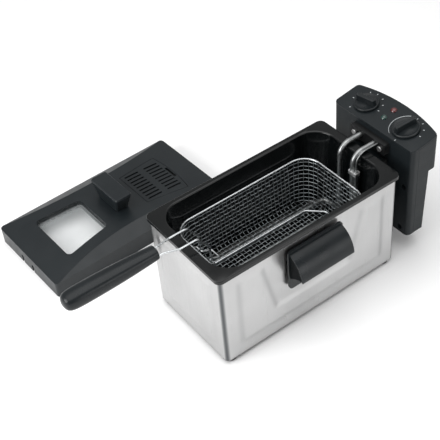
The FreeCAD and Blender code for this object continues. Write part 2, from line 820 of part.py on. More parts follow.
def make_guide():
    half = d.guide_width / 2
    near = unit_in - d.guide_gap - d.guide_lip
    body = new_body("control_guide")
    block = rectangle(casing_end, -half, near + d.guide_lip, half)
    pad(body, outline(body, "GuideBlock", "XY_Plane", block, d.guide_low), d.guide_high - d.guide_low)
    groove_half = half - d.guide_wall
    lip = groove_half - d.guide_lip_reach
    groove = [(casing_end + d.guide_base, -groove_half), (near, -groove_half), (near, -lip),
              (near + d.guide_lip * 2, -lip), (near + d.guide_lip * 2, lip), (near, lip),
              (near, groove_half), (casing_end + d.guide_base, groove_half)]
    sketch = outline(body, "GuideGroove", "XY_Plane", groove, d.guide_high)
    pocket(body, sketch, d.guide_high - d.guide_low - d.guide_wall)
    holes = circles(body, "GuideHoles", "YZ_Plane", rivet_spots, d.screw_diameter, casing_end)
    pocket(body, holes, d.guide_base, flip=True)
    body = new_body("guide_rivets")
    inner = casing_end - d.casing_sheet
    shanks = circles(body, "RivetShanks", "YZ_Plane", rivet_spots, d.screw_diameter, inner)
    pad(body, shanks, d.casing_sheet + d.guide_base * 0.9)
    heads = circles(body, "RivetHeads", "YZ_Plane", rivet_spots, d.screw_head, inner)
    pad(body, heads, d.screw_head_height * 0.6, flip=True)


def make_unit_shells():
    seam = unit_in + d.unit_seam
    top = d.unit_shoulder + d.panel_rise * 3
    wall = d.unit_wall
    body = new_body("control_front_shell")
    block = rectangle(unit_in, -unit_half, seam, unit_half)
    pad(body, outline(body, "FrontBlock", "XY_Plane", block, d.unit_bottom), top - d.unit_bottom)
    soften(body, d.unit_corner, lambda edge: upright(edge) and edge.BoundBox.XMax < unit_in.value + 0.1)
    trim_to_panel(body, "FrontSlope")
    inside = rectangle(unit_in + wall, wall - unit_half, seam + wall, unit_half - wall)
    pocket(body, outline(body, "FrontInside", "XY_Plane", inside, top), top - d.unit_bottom - wall)
    boss = d.unit_screw_recess + wall * 2
    bosses = circles(body, "FrontBosses", "YZ_Plane", unit_screws, boss, unit_in + wall)
    pad(body, bosses, d.unit_seam - wall)
    wells = circles(body, "FrontWells", "YZ_Plane", unit_screws, d.unit_screw_recess, unit_in)
    pocket(body, wells, d.unit_seam - wall, flip=True)
    holes = circles(body, "FrontScrewHoles", "YZ_Plane", unit_screws, screw_hole, unit_in)
    pocket(body, holes, d.unit_seam, flip=True)
    neck = tongue_half - d.guide_lip_reach
    tongue = [(tongue_far, -tongue_half), (tongue_near, -tongue_half), (tongue_near, -neck),
              (unit_in + wall / 2, -neck), (unit_in + wall / 2, neck), (tongue_near, neck),
              (tongue_near, tongue_half), (tongue_far, tongue_half)]
    low = d.guide_low + d.guide_wall + d.seat_gap
    sketch = outline(body, "FrontTongue", "XY_Plane", tongue, low)
    pad(body, sketch, d.guide_high - low)
    threads = circles(body, "BracketThreads", "YZ_Plane", bracket_screws, screw_hole, unit_in)
    pocket(body, threads, wall, flip=True)
    passes = circles(body, "TubePasses", "YZ_Plane", tube_spots, d.tube_diameter + d.screw_clearance, unit_in)
    pocket(body, passes, wall, flip=True)
    lead = circles(body, "LeadPass", "YZ_Plane", [(probe_lane, d.lead_level)], lead_hole, unit_in)
    pocket(body, lead, wall, flip=True)

    body = new_body("control_rear_shell")
    upper = [(seam, -unit_half), (unit_out, -unit_half), (unit_out, unit_half), (seam, unit_half)]
    sketch = outline(body, "RearUpper", "XY_Plane", upper, d.unit_step_level, {1: bulge_radius})
    pad(body, sketch, top - d.unit_step_level)
    soften(body, d.unit_corner, lambda edge: upright(edge) and edge.BoundBox.XMin > seam.value + 1)
    trim_to_panel(body, "RearSlope")
    sections = []
    for name, level, inset in (("RearWaist", d.unit_step_level, d.unit_step),
                               ("RearFoot", d.unit_bottom, d.unit_step + d.unit_taper)):
        edge = unit_out - inset
        side = unit_half - d.unit_corner
        lower = [(seam, -unit_half), (edge - d.unit_corner, -unit_half), (edge, -side), (edge, side),
                 (edge - d.unit_corner, unit_half), (seam, unit_half)]
        chord = side
        bow = d.unit_bulge * 0.85
        radius = (chord * chord + bow * bow) / (bow * 2)
        sections.append(outline(body, name, "XY_Plane", lower, level, {2: radius}))
    loft(body, sections)
    room = rectangle(seam - wall, wall - unit_half, unit_out - wall, unit_half - wall)
    sketch = outline(body, "RearRoom", "XY_Plane", room, top, {1: bulge_radius})
    pocket(body, sketch, top - d.unit_step_level - wall)
    edge = unit_out - d.unit_step - d.unit_taper - d.unit_corner
    room = rectangle(seam - wall, wall - unit_half, edge, unit_half - wall)
    sketch = outline(body, "RearCellar", "XY_Plane", room, top)
    pocket(body, sketch, top - d.unit_bottom - wall)
    pillars = circles(body, "RearPillars", "YZ_Plane", unit_screws, d.unit_screw_recess, seam)
    pad(body, pillars, edge - seam + d.pillar_sink)
    threads = circles(body, "RearThreads", "YZ_Plane", unit_screws, screw_hole, seam)
    pocket(body, threads, d.unit_seam, flip=True)
    inlet_neck = d.inlet_diameter - d.inlet_shoulder * 2
    inlet = circles(body, "InletHole", "XY_Plane", [(inlet_x, ZERO)], inlet_neck, d.unit_bottom + wall)
    pocket(body, inlet, wall)

    body = new_body("shell_screws")
    seat = seam - wall
    heads = circles(body, "ShellScrewHeads", "YZ_Plane", unit_screws, d.screw_head, seat)
    pad(body, heads, d.screw_head_height, flip=True)
    shanks = circles(body, "ShellScrewShanks", "YZ_Plane", unit_screws, d.screw_diameter, seat)
    pad(body, shanks, wall + d.unit_seam * 0.8)

    body = new_body("cord_inlet")
    centre = [(inlet_x, ZERO)]
    low = d.unit_bottom - wall * 1.6
    pad(body, circles(body, "InletCollar", "XY_Plane", centre, d.inlet_diameter, low), wall * 1.6)
    stem = circles(body, "InletStem", "XY_Plane", centre, inlet_neck, d.unit_bottom)
    pad(body, stem, wall)
    bead = circles(body, "InletBead", "XY_Plane", centre, d.inlet_diameter, d.unit_bottom + wall)
    pad(body, bead, wall)
    pocket(body, circles(body, "InletBore", "XY_Plane", centre, d.inlet_bore, d.unit_bottom + wall * 2))


def make_panel():
    body = new_body("control_panel")
    plan = [(ZERO, -unit_half), (d.unit_depth, -unit_half), (d.unit_depth, unit_half), (ZERO, unit_half)]
    pad(body, outline(body, "PanelPlan", "XY_Plane", plan, bulges={1: bulge_radius}), d.panel_sheet)
    soften(body, d.unit_corner, upright)
    soften(body, d.panel_sheet / 3, level_with(d.panel_sheet))
    knobs = [(d.knob_row, d.knob_spacing * side / 2) for side in (-1, 1)]
    holes = circles(body, "ShaftHoles", "XY_Plane", knobs, d.shaft_diameter + d.turn_gap * 2, d.panel_sheet)
    pocket(body, holes)
    lamps = [(d.lamp_red_row, ZERO), (d.lamp_green_row, ZERO)]
    pocket(body, circles(body, "LampHoles", "XY_Plane", lamps, d.lamp_hole, d.panel_sheet))
    on_panel(body)
    for label, row in (("lamp_red", d.lamp_red_row), ("lamp_green", d.lamp_green_row)):
        lamp = new_body(label)
        neck = d.lamp_hole / 2
        rim = d.lamp_diameter / 2
        seat = d.panel_sheet
        ledge = seat + d.lamp_ledge
        crown = (rim * rim + d.lamp_dome * d.lamp_dome) / (d.lamp_dome * 2)
        half = [(ZERO, -seat), (neck, -seat), (neck, seat), (rim, seat), (rim, ledge),
                (ZERO, ledge + d.lamp_dome)]
        sketch = outline(lamp, label.title().replace("_", "") + "Half", "XZ_Plane", half, bulges={4: crown})
        revolve(lamp, sketch)
        on_panel(lamp)
        shift_on_panel(lamp, row, ZERO)
    for label, side in (("thermostat", -1), ("timer", 1)):
        works = new_body(label)
        middle = d.knob_spacing * side / 2
        block = rectangle(d.knob_row - d.works_length / 2, middle - d.works_width / 2,
                          d.knob_row + d.works_length / 2, middle + d.works_width / 2, d.shaft_diameter / 2)
        pad(works, outline(works, label.title() + "Block", "XY_Plane", block), d.works_depth, flip=True)
        on_panel(works)
    cutout = new_body("thermal_cutout")
    disc = circles(cutout, "CutoutDisc", "YZ_Plane", [(ZERO, d.unit_step_level)], d.lamp_diameter * 2,
                   unit_in + d.unit_wall)
    pad(cutout, disc, d.unit_seam)


def shift_on_panel(thing, along, across):
    """Moves a piece drawn about its own axis to a spot on the sloping panel."""
    cosine = Size(math.cos(math.radians(panel_tilt.value)), "cos(%s)" % panel_tilt.text)
    x = unit_in + along * cosine
    z = d.unit_shoulder + along * cosine * panel_slope
    thing.Placement = Placement(Vector(x.value, across.value, z.value), thing.Placement.Rotation)
    bind(thing, "Placement.Base.x", x)
    bind(thing, "Placement.Base.y", across)
    bind(thing, "Placement.Base.z", z)


def make_knobs():
    for label, side, diameter, turn in (
            ("thermostat", -1, d.thermostat_diameter, d.thermostat_rest_turn),
            ("timer", 1, d.timer_diameter, d.timer_rest_turn)):
        across = d.knob_spacing * side / 2
        foot = d.panel_sheet + d.turn_gap
        top = foot + d.knob_height
        body = new_body(label + "_knob")
        name = label.title()
        disc = circles(body, name + "Skirt", "XY_Plane", [(ZERO, ZERO)], diameter, foot)
        pad(body, disc, d.knob_skirt, slope=-d.knob_draft)
        reach = diameter * 0.44
        bar = rectangle(-reach, -d.knob_bar / 2, reach, d.knob_bar / 2, d.knob_bar * 0.3)
        sketch = outline(body, name + "Bar", "XY_Plane", bar, foot + d.knob_skirt / 2, turn=turn)
        pad(body, sketch, d.knob_height - d.knob_skirt / 2, slope=-d.knob_draft / 2)
        soften(body, d.knob_bar / 9, level_with(top))
        line = d.knob_bar / 12
        mark = rectangle(reach * 0.3, -line, reach, line)
        pocket(body, outline(body, name + "Mark", "XY_Plane", mark, top, turn=turn), line)
        bore = circles(body, name + "Bore", "XY_Plane", [(ZERO, ZERO)], d.shaft_diameter, foot)
        pocket(body, bore, d.knob_height * 0.6, flip=True)
        shaft = new_body(label + "_shaft")
        ring = circles(shaft, name + "Shaft", "XY_Plane", [(ZERO, ZERO)], d.shaft_diameter, d.turn_gap)
        pad(shaft, ring, d.panel_sheet + d.knob_height * 0.6)
        for piece in (body, shaft):
            on_panel(piece)
            shift_on_panel(piece, d.knob_row, across)


def make_bracket():
    half = d.bracket_width / 2
    front = unit_in - d.bracket_reach
    wall = d.bracket_sheet
    body = new_body("element_bracket")
    box = rectangle(-half, d.bracket_low, half, d.bracket_high, wall * 2)
    pad(body, outline(body, "BracketBox", "YZ_Plane", box, front), d.bracket_reach)
    hollow = rectangle(wall - half, d.bracket_low + wall, half - wall, d.bracket_high - wall)
    pocket(body, outline(body, "BracketHollow", "YZ_Plane", hollow, unit_in), d.bracket_reach - wall)
    pocket(body, circles(body, "BracketHoles", "YZ_Plane", bracket_screws, screw_hole, unit_in))
    tube_hole = d.tube_diameter + d.screw_clearance
    tubes = circles(body, "BracketTubes", "YZ_Plane", tube_spots, tube_hole, unit_in)
    pocket(body, tubes)
    pocket(body, circles(body, "BracketLead", "YZ_Plane", [(probe_lane, d.lead_level)], lead_hole, unit_in))
    body = new_body("bracket_screws")
    heads = circles(body, "BracketScrewHeads", "YZ_Plane", bracket_screws, d.screw_head, front)
    pad(body, heads, d.screw_head_height, flip=True)
    shanks = circles(body, "BracketScrewShanks", "YZ_Plane", bracket_screws, d.screw_diameter, front)
    pad(body, shanks, d.bracket_reach + d.unit_wall)


def make_element():
    lane = d.tube_spacing.value / 2
    top = d.tube_level.value
    low = d.loop_level.value
    drop = d.tube_drop_at.value
    start = unit_in.value + d.unit_seam.value / 2
    outer = d.loop_outer.value / 2
    inner = d.loop_inner.value / 2
    far = -d.loop_far.value
    near = d.loop_near.value
    half = [(start, lane, top), (drop, lane, top), (drop, lane, low), (drop, outer, low), (far, outer, low),
            (far, inner, low), (near, inner, low)]
    path = half + [(x, -y, z) for x, y, z in reversed(half)]
    low_bend = d.tube_low_bend.value
    turn = (outer - inner) / 2
    bends = [d.tube_top_bend.value, low_bend, low_bend, turn, turn, inner]
    tube = bent_wire(path, bends + bends[::-1])
    add_shape("heating_element", rod_along(tube, d.tube_diameter.value))

    lane = probe_lane.value
    high = d.probe_top.value
    level = d.lead_level.value
    end = high - d.lead_sink.value
    lead = bent_wire([(start, lane, level), (drop, lane, level), (drop, lane, end)], d.tube_top_bend.value)
    bulb = Part.makeCylinder(d.probe_diameter.value / 2, d.probe_length.value,
                             Vector(drop, lane, high - d.probe_length.value))
    add_shape("sensor_probe", rod_along(lead, d.capillary_diameter.value).fuse(bulb).removeSplitter())

    clip = new_body("sensor_clip")
    level = d.probe_top - d.probe_length / 8
    front = probe_lane - d.probe_diameter / 2 - d.clip_sheet
    back = (d.tube_diameter - d.tube_spacing) / 2 + d.clip_sheet
    plate = rectangle(d.tube_drop_at - d.clip_depth / 2, front, d.tube_drop_at + d.clip_depth / 2, back,
                      d.clip_depth / 4)
    top = level + d.clip_height
    pad(clip, outline(clip, "ClipPlate", "XY_Plane", plate, level), d.clip_height)
    leg = [(d.tube_drop_at, -d.tube_spacing / 2)]
    pocket(clip, circles(clip, "ClipTube", "XY_Plane", leg, d.tube_diameter, top))
    pocket(clip, circles(clip, "ClipBulb", "XY_Plane", [(d.tube_drop_at, probe_lane)], d.probe_diameter, top))


# Basket
def spread(reach, pitch):
    """Evenly spaced spots either side of the middle that stay within the reach."""
    count = int(reach // pitch)
    return [pitch * i for i in range(-count, count + 1)]


def make_basket_mesh():
    wire = d.mesh_wire.value
    gap = d.mesh_gap.value
    pitch = d.mesh_pitch.value
    corner = d.basket_corner.value
    draft = d.basket_draft.value
    shift = Vector(d.basket_shift.value, d.basket_offset.value, 0)
    floor = d.basket_floor_level.value
    top = d.basket_rim_level.value - d.rim_wire.value / 2
    foot = floor + wire / 2 + d.mesh_foot_gap.value
    half = (d.basket_length.value / 2, d.basket_width.value / 2)
    levels = [foot + (top - foot) * (i + 1) / (MESH_RINGS + 1) for i in range(MESH_RINGS)]

    def lean(level):
        return draft * (d.basket_rim_level.value - level) / (d.basket_rim_level.value - floor)

    walls = (("basket_wall_front", 0, -1), ("basket_wall_back", 0, 1),
             ("basket_wall_left", 1, -1), ("basket_wall_right", 1, 1))
    for label, axis, side in walls:
        along = Vector(1, 0, 0) if axis == 0 else Vector(0, 1, 0)
        out = (Vector(0, 1, 0) if axis == 0 else Vector(1, 0, 0)) * side
        flat = half[axis] - corner
        offset = half[1 - axis]
        wires = []
        upper = shift + out * (offset - lean(top)) + Vector(0, 0, top)
        lower = shift + out * (offset - lean(foot)) + Vector(0, 0, foot)
        for spot in spread(flat - draft, pitch):
            wires.append(stick(lower + along * spot, upper + along * spot, wire, out))
        slope = (upper - lower).normalize()
        facing = (out - slope * out.dot(slope)).normalize()
        for level in levels:
            middle = shift + out * (offset - lean(level)) + Vector(0, 0, level) + facing * wire
            reach = along * (flat - lean(level))
            wires.append(stick(middle - reach, middle + reach, wire, facing))
        add_shape(label, Part.makeCompound(wires))

    for label, i, j in (("basket_corner_front_left", -1, -1), ("basket_corner_front_right", 1, -1),
                        ("basket_corner_back_left", -1, 1), ("basket_corner_back_right", 1, 1)):
        wires = []

        def axis_at(level):
            inset = corner + lean(level)
            return shift + Vector((half[0] - inset) * i, (half[1] - inset) * j, level)
        for k in range(CORNER_WIRES):
            turn = math.pi / 2 * (k + 0.5) / CORNER_WIRES
            radial = Vector(math.cos(turn) * i, math.sin(turn) * j, 0)
            wires.append(stick(axis_at(foot) + radial * corner, axis_at(top) + radial * corner, wire, radial))
        for level in levels:
            middle = axis_at(level)
            near = corner + wire / 2 + gap
            ring = [(near, -wire / 2), (near + wire, -wire / 2), (near + wire, wire / 2), (near, wire / 2)]
            corners = [middle + Vector(r * i, 0, z) for r, z in ring]
            face = Part.Face(Part.makePolygon(corners + corners[:1]))
            wires.append(face.revolve(middle, Vector(0, 0, 1), 90 * i * j))
        add_shape(label, Part.makeCompound(wires))

    reach = (half[0] - draft, half[1] - draft)
    grid = []
    middle = shift + Vector(0, 0, floor - wire / 2)
    outer = rounded_face(reach[0] + wire / 2, reach[1] + wire / 2, corner, middle)
    inner = rounded_face(reach[0] - wire / 2, reach[1] - wire / 2, corner - wire, middle)
    grid.append(outer.cut(inner).extrude(Vector(0, 0, wire)))
    for axis, level in ((0, floor), (1, floor - wire)):
        along = Vector(1, 0, 0) if axis == 0 else Vector(0, 1, 0)
        across = Vector(0, 1, 0) if axis == 0 else Vector(1, 0, 0)
        for spot in spread(reach[1 - axis] - wire * 2, pitch):
            past = max(0.0, abs(spot) + wire / 2 - (reach[1 - axis] - corner))
            bow = corner - wire / 2 - math.sqrt((corner - wire / 2) ** 2 - past ** 2)
            end = reach[axis] - wire / 2 - bow - (gap if axis == 0 else -wire)
            middle = shift + across * spot + Vector(0, 0, level)
            grid.append(stick(middle - along * end, middle + along * end, wire, Vector(0, 0, 1)))
    add_shape("basket_floor", Part.makeCompound(grid))


def rounded_face(half_length, half_width, radius, centre):
    spots = [Vector(half_length * i, half_width * j, 0) + centre for i, j in CORNERS]
    return Part.Face(rounded_path(spots, radius))


def rounded_path(spots, radius):
    """A closed path through the middle of its first side, rounded at each corner."""
    middle = (spots[0] + spots[-1]) / 2
    points = [middle] + list(spots) + [middle]
    return bent_wire([(p.x, p.y, p.z) for p in points], radius)


def make_basket_wires():
    rod = d.rim_wire.value
    shift = Vector(d.basket_shift.value, d.basket_offset.value, d.basket_rim_level.value)
    half_length = d.basket_length.value / 2
    half_width = d.basket_width.value / 2
    spots = [shift + Vector(half_length * i, half_width * j, 0) for i, j in CORNERS]
    add_shape("basket_rim_wire", rod_along(rounded_path(spots, d.basket_corner.value), rod))

    level = d.basket_floor_level.value + d.mesh_wire.value / 2 + rod / 2
    lane = d.floor_wire_spread.value / 2
    splay = d.floor_wire_splay.value
    end = half_length - d.basket_draft.value - rod
    side = [(-end + splay, lane), (end - splay, lane), (end, lane - splay)]
    path = side + [(x, -y) for x, y in reversed(side)]
    points = [(x + shift.x, y + shift.y, level) for x, y in path]
    add_shape("basket_floor_wire", rod_along(bent_wire(points, rod * 3), rod))

    rim_x = shift.x - half_length
    pivot_x = rim_x + d.pivot_inset.value
    pivot_z = d.basket_rim_level.value - d.pivot_drop.value
    foot = d.bracket_foot_spacing.value / 2
    leg = d.bracket_leg_spacing.value / 2
    inner = pivot_x + d.bracket_leg_length.value
    side = [(rim_x + rod * 0.55, foot, pivot_z + d.bracket_foot_rise.value), (pivot_x, foot, pivot_z),
            (pivot_x, leg, pivot_z), (inner, leg, pivot_z - d.bracket_leg_drop.value)]
    path = side + [(x, -y, z) for x, y, z in reversed(side)]
    points = [(x, y + shift.y, z) for x, y, z in path]
    add_shape("basket_handle_bracket", rod_along(bent_wire(points, rod * 0.7), rod))

    loop = rod / 2 + d.seat_gap.value + rod / 2
    wires = []
    for sign in (-1, 1):
        lane = d.handle_wire_spacing.value / 2 * sign + shift.y
        neck = d.handle_wire_neck.value / 2 * sign + shift.y
        over = d.handle_wire_level.value
        edge = -d.opening_length.value / 2
        tail = -d.grip_start.value
        high = d.grip_level.value - d.grip_wire_drop.value
        eye = Part.makeTorus(loop, rod / 2, Vector(pivot_x, lane, pivot_z), Vector(0, 1, 0))
        points = [(pivot_x, lane, pivot_z + loop), (pivot_x, lane, over - d.handle_wire_rise.value),
                  (edge + d.handle_wire_land.value, lane, over), (edge - d.handle_wire_run.value, lane, over),
                  (tail + d.grip_wire_lead.value, neck, high), (tail - d.grip_wire_depth.value, neck, high)]
        wires.append(eye.fuse(rod_along(bent_wire(points, rod * 2.5), rod)))
    add_shape("handle_wires", Part.makeCompound(wires))


def make_grip():
    body = new_body("handle_grip")
    width = d.grip_width
    depth = d.grip_depth
    stations = ((0.0, 0.72, 0.56), (0.12, 0.80, 0.64), (0.45, 0.84, 0.74),
                (0.78, 1.0, 0.98), (0.92, 0.98, 0.94), (1.0, 0.66, 0.6))
    sections = []
    for i, (share, wide, deep) in enumerate(stations):
        half = width * wide / 2
        tall = depth * deep / 2
        corner = depth * min(wide, deep) * 0.36
        ring = rectangle(d.basket_offset - half, d.grip_level - tall,
                         d.basket_offset + half, d.grip_level + tall, corner)
        station = -(d.grip_start + d.grip_length * share)
        sections.append(outline(body, "GripSection%d" % i, "YZ_Plane", ring, station))
    loft(body, sections)
    soften(body, depth * 0.14, lambda edge: edge.BoundBox.XMax < sections[-1].Placement.Base.x + 0.01)
    for sign in (-1, 1):
        hole = circles(body, "GripHole%d" % (sign + 1), "YZ_Plane",
                       [(d.basket_offset + d.handle_wire_neck * sign / 2, d.grip_level - d.grip_wire_drop)],
                       d.rim_wire, -d.grip_start)
        pocket(body, hole, d.grip_wire_depth + d.grip_bore_spare)


# Lid, drawn about its own middle and placed beside the fryer
lid_half = d.lid_length / 2
crown_level = d.lid_skirt + d.lid_crown


def arch_over(half):
    return (half * half + d.lid_crown * d.lid_crown) / (d.lid_crown * 2)


arch_radius = arch_over(lid_half)


def on_lid(thing):
    spot = Vector(d.lid_x.value, d.lid_y.value, 0)
    thing.Placement = Placement(spot, Rotation(Vector(0, 0, 1), d.lid_turn.value))
    bind(thing, "Placement.Base.x", d.lid_x)
    bind(thing, "Placement.Base.y", d.lid_y)
    bind(thing, "Placement.Rotation.Angle", d.lid_turn)


def arch_strip(name, drop, thickness):
    """A plate that follows the arched top, its upper face lowered by drop."""
    body = new_body(name)
    high = d.lid_skirt - drop
    low = high - thickness
    side = [(-lid_half, low), (lid_half, low), (lid_half, high), (-lid_half, high)]
    sketch = outline(body, name + "Side", "XZ_Plane", side, bulges={0: -arch_radius, 2: arch_radius})
    pad(body, sketch, d.lid_width, both=True)
    return body


def cut_from_arch(label, drop, thickness, corners, bulges=None):
    """The part of an arched plate inside an outline."""
    strip = arch_strip(label + "_arch", drop, thickness)
    body = new_body(label)
    sketch = outline(body, label.title().replace("_", "") + "Plan", "XY_Plane", corners, bulges=bulges)
    pad(body, sketch, crown_level * 2)
    combine(body, strip, "Common")
    return body


def window_plan(grow):
    wide = d.window_wide / 2 + grow
    narrow = d.window_narrow / 2 + grow
    corner = d.window_corner + grow
    outer = -d.window_outer - grow
    inner = -d.window_inner + grow
    return [(outer, -wide, corner), (inner, -narrow, corner), (inner, narrow, corner), (outer, wide, corner)]


def cover_plan(grow):
    narrow = d.cover_narrow / 2 + grow
    wide = d.cover_wide / 2 + grow
    return [(d.cover_near - grow, -narrow), (d.cover_far - d.cover_bulge + grow, -wide),
            (d.cover_far - d.cover_bulge + grow, wide), (d.cover_near - grow, narrow)]


def cover_bow(grow):
    wide = d.cover_wide / 2 + grow
    return {1: (wide * wide + d.cover_bulge * d.cover_bulge) / (d.cover_bulge * 2)}


def lid_block(label, inset):
    """The lid's outside form, drawn in by an inset for its inside."""
    body = new_body(label)
    name = label.title().replace("_", "")
    reach = lid_half - inset
    high = d.lid_skirt - inset
    side = [(-reach, -inset), (reach, -inset), (reach, high), (-reach, high)]
    sketch = outline(body, name + "Side", "XZ_Plane", side, bulges={2: arch_over(reach)})
    pad(body, sketch, d.lid_width - inset * 2, both=True)
    soften(body, d.lid_corner - inset, upright)
    half = d.lid_width / 2 - inset
    edge = high + d.lid_crown / 20
    rise = d.lid_crown * 2
    steep = d.lid_facet * 2
    past = half + d.lid_corner
    facet = [(half, edge), (past, edge), (past, edge + rise), (half - steep, edge + rise)]
    cut = pocket(body, outline(body, name + "Facet", "YZ_Plane", facet), both=True)
    mirror(body, [cut], "XZ_Plane")
    return body


def make_lid_shell():
    inside = lid_block("lid_inside", d.lid_wall)
    body = lid_block("lid_shell", ZERO)
    subtract(body, inside)
    above = crown_level + d.lid_crown
    pocket(body, outline(body, "WindowHole", "XY_Plane", window_plan(ZERO), above))
    sketch = outline(body, "CoverHole", "XY_Plane", cover_plan(d.cover_gap), above, cover_bow(d.cover_gap))
    pocket(body, sketch)
    notches = new_sketch(body, "WireNotches", "YZ_Plane", -lid_half)
    for sign in (-1, 1):
        middle = d.notch_offset + d.notch_spacing * sign / 2
        left = middle - d.notch_width / 2
        draw_loop(notches, rectangle(left, -d.notch_width, left + d.notch_width, d.notch_height))
    pocket(body, notches, d.lid_corner * 2, flip=True)
    screws = circles(body, "LidScrewHoles", "XY_Plane", lid_screw_spots, screw_hole, above)
    pocket(body, screws)
    on_lid(body)


lid_screw_spots = [((d.lid_handle_left + d.lid_handle_right) / 2, d.lid_handle_foot_span * side / 4)
                   for side in (-1, 1)]


def make_lid_handle():
    body = new_body("lid_handle")
    inset = d.lid_handle_inset
    top = crown_level + d.lid_handle_height
    foot_half = d.lid_handle_foot_span / 2
    half = d.lid_handle_span / 2
    edge = d.lid_handle_round
    brow = top - edge / 2
    bevel = edge / 3
    foot = rectangle(d.lid_handle_left + inset, -foot_half, d.lid_handle_right - inset, foot_half, edge)
    crest = rectangle(d.lid_handle_left, -half, d.lid_handle_right, half, edge)
    crown = rectangle(d.lid_handle_left + bevel, bevel - half, d.lid_handle_right - bevel, half - bevel,
                      edge - bevel)
    loft(body, [outline(body, "LidHandleFoot", "XY_Plane", foot, crown_level),
                outline(body, "LidHandleBrow", "XY_Plane", crest, brow)])
    loft(body, [outline(body, "LidHandleCrest", "XY_Plane", crest, brow),
                outline(body, "LidHandleCrown", "XY_Plane", crown, top)])
    holes = circles(body, "LidHandleHoles", "XY_Plane", lid_screw_spots, screw_hole, crown_level)
    pocket(body, holes, d.lid_handle_height * 0.4, flip=True)
    on_lid(body)
    body = new_body("lid_handle_screws")
    seat = crown_level - d.lid_wall - 0.15
    heads = circles(body, "LidScrewHeads", "XY_Plane", lid_screw_spots, d.screw_head, seat)
    pad(body, heads, d.screw_head_height, flip=True)
    shanks = circles(body, "LidScrewShanks", "XY_Plane", lid_screw_spots, d.screw_diameter, seat)
    pad(body, shanks, d.lid_wall + d.lid_handle_height * 0.3)
    on_lid(body)


def make_window():
    rim = d.window_rim
    frame = cut_from_arch("window_frame", d.lid_wall + d.tray_gap, d.window_drop + d.glass_sheet,
                          window_plan(rim))
    pocket(frame, outline(frame, "FrameHole", "XY_Plane", window_plan(-rim), crown_level * 2))
    room = cut_from_arch("frame_space", ZERO, d.window_drop + d.glass_sheet, window_plan(ZERO))
    subtract(frame, room)
    on_lid(frame)
    on_lid(cut_from_arch("window_glass", d.window_drop, d.glass_sheet, window_plan(ZERO)))


def slot_rows(body, name, level):
    """Two rows of vent slots across the filter cover or its tray."""
    last = d.cover_slot_pitch * (COVER_SLOTS - 1) / 2
    margin = d.cover_near + d.cover_slot_inset
    slots = new_sketch(body, name, "XY_Plane", level)
    for left in (margin, margin + d.cover_slot_length + d.cover_slot_gap):
        draw_loop(slots, rectangle(left, last - d.cover_slot_width / 2, left + d.cover_slot_length,
                                   last + d.cover_slot_width / 2))
    row = pocket(body, slots)
    pattern(body, row, "XZ_Plane", last * 2, COVER_SLOTS)


def make_filter():
    above = crown_level * 2
    cover = cut_from_arch("filter_cover", ZERO, d.cover_sheet, cover_plan(ZERO), cover_bow(ZERO))
    slot_rows(cover, "CoverSlots", above)
    latch = rectangle(d.cover_far - d.latch_inset - d.latch_depth, -d.latch_width / 2,
                      d.cover_far - d.latch_inset, d.latch_width / 2, d.latch_depth / 3)
    pocket(cover, outline(cover, "LatchSlot", "XY_Plane", latch, above))
    on_lid(cover)
    edge = d.tray_edge
    room = edge - d.tray_wall
    drop = d.lid_wall + d.tray_gap
    tray = cut_from_arch("filter_tray", drop, d.tray_depth, cover_plan(edge), cover_bow(edge))
    depth = drop + d.tray_depth - d.tray_wall
    space = cut_from_arch("tray_space", ZERO, depth, cover_plan(room), cover_bow(room))
    subtract(tray, space)
    slot_rows(tray, "TraySlots", above)
    on_lid(tray)
    play = room - d.tray_gap
    sink = depth - d.tray_gap - d.pad_thickness
    fleece = cut_from_arch("filter_pad", sink, d.pad_thickness, cover_plan(play), cover_bow(play))
    on_lid(fleece)


def export():
    os.makedirs("parts", exist_ok=True)
    doc.recompute()
    for thing in doc.Objects:
        if "Invalid" in thing.State or "Error" in thing.State:
            raise ValueError("%s is %s" % (thing.Name, thing.State))
    inner = set()
    for thing in doc.Objects:
        if thing.TypeId == "PartDesign::Boolean":
            inner.update(item.Name for item in thing.Group)
    for thing in doc.Objects:
        if thing.TypeId not in PIECE_TYPES or thing.Name in inner:
            continue
        if thing.Shape.isNull() or not thing.Shape.isValid():
            raise ValueError("%s has no valid shape" % thing.Label)
        thing.Shape.exportStep("parts/%s.step" % thing.Label)


make_casing()
make_base()
make_side_handles()
make_bowl()
make_guide()
make_unit_shells()
make_panel()
make_knobs()
make_bracket()
make_element()
make_basket_mesh()
make_basket_wires()
make_grip()
make_lid_shell()
make_lid_handle()
make_window()
make_filter()
export()
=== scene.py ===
"""Looks of the deep fryer: materials, woven basket wire, panel printing, studio and camera."""

import json
import math

import bmesh
import bpy
import numpy as np
from mathutils import Matrix, Vector


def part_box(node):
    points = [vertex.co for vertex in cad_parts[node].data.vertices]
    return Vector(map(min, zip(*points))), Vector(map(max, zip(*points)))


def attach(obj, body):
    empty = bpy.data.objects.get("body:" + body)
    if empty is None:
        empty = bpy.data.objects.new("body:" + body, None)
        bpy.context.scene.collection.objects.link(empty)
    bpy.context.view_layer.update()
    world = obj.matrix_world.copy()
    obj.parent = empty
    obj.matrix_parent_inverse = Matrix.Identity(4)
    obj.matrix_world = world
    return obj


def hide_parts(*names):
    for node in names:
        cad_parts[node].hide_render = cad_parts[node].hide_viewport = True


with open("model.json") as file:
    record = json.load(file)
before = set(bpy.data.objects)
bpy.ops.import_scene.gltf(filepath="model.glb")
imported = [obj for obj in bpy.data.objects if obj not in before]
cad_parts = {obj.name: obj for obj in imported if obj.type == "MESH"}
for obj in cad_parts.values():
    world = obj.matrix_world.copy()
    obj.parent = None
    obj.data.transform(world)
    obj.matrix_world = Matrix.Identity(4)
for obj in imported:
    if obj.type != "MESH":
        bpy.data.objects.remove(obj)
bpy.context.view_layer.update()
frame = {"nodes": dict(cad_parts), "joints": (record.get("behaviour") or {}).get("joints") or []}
nodes = frame["nodes"]
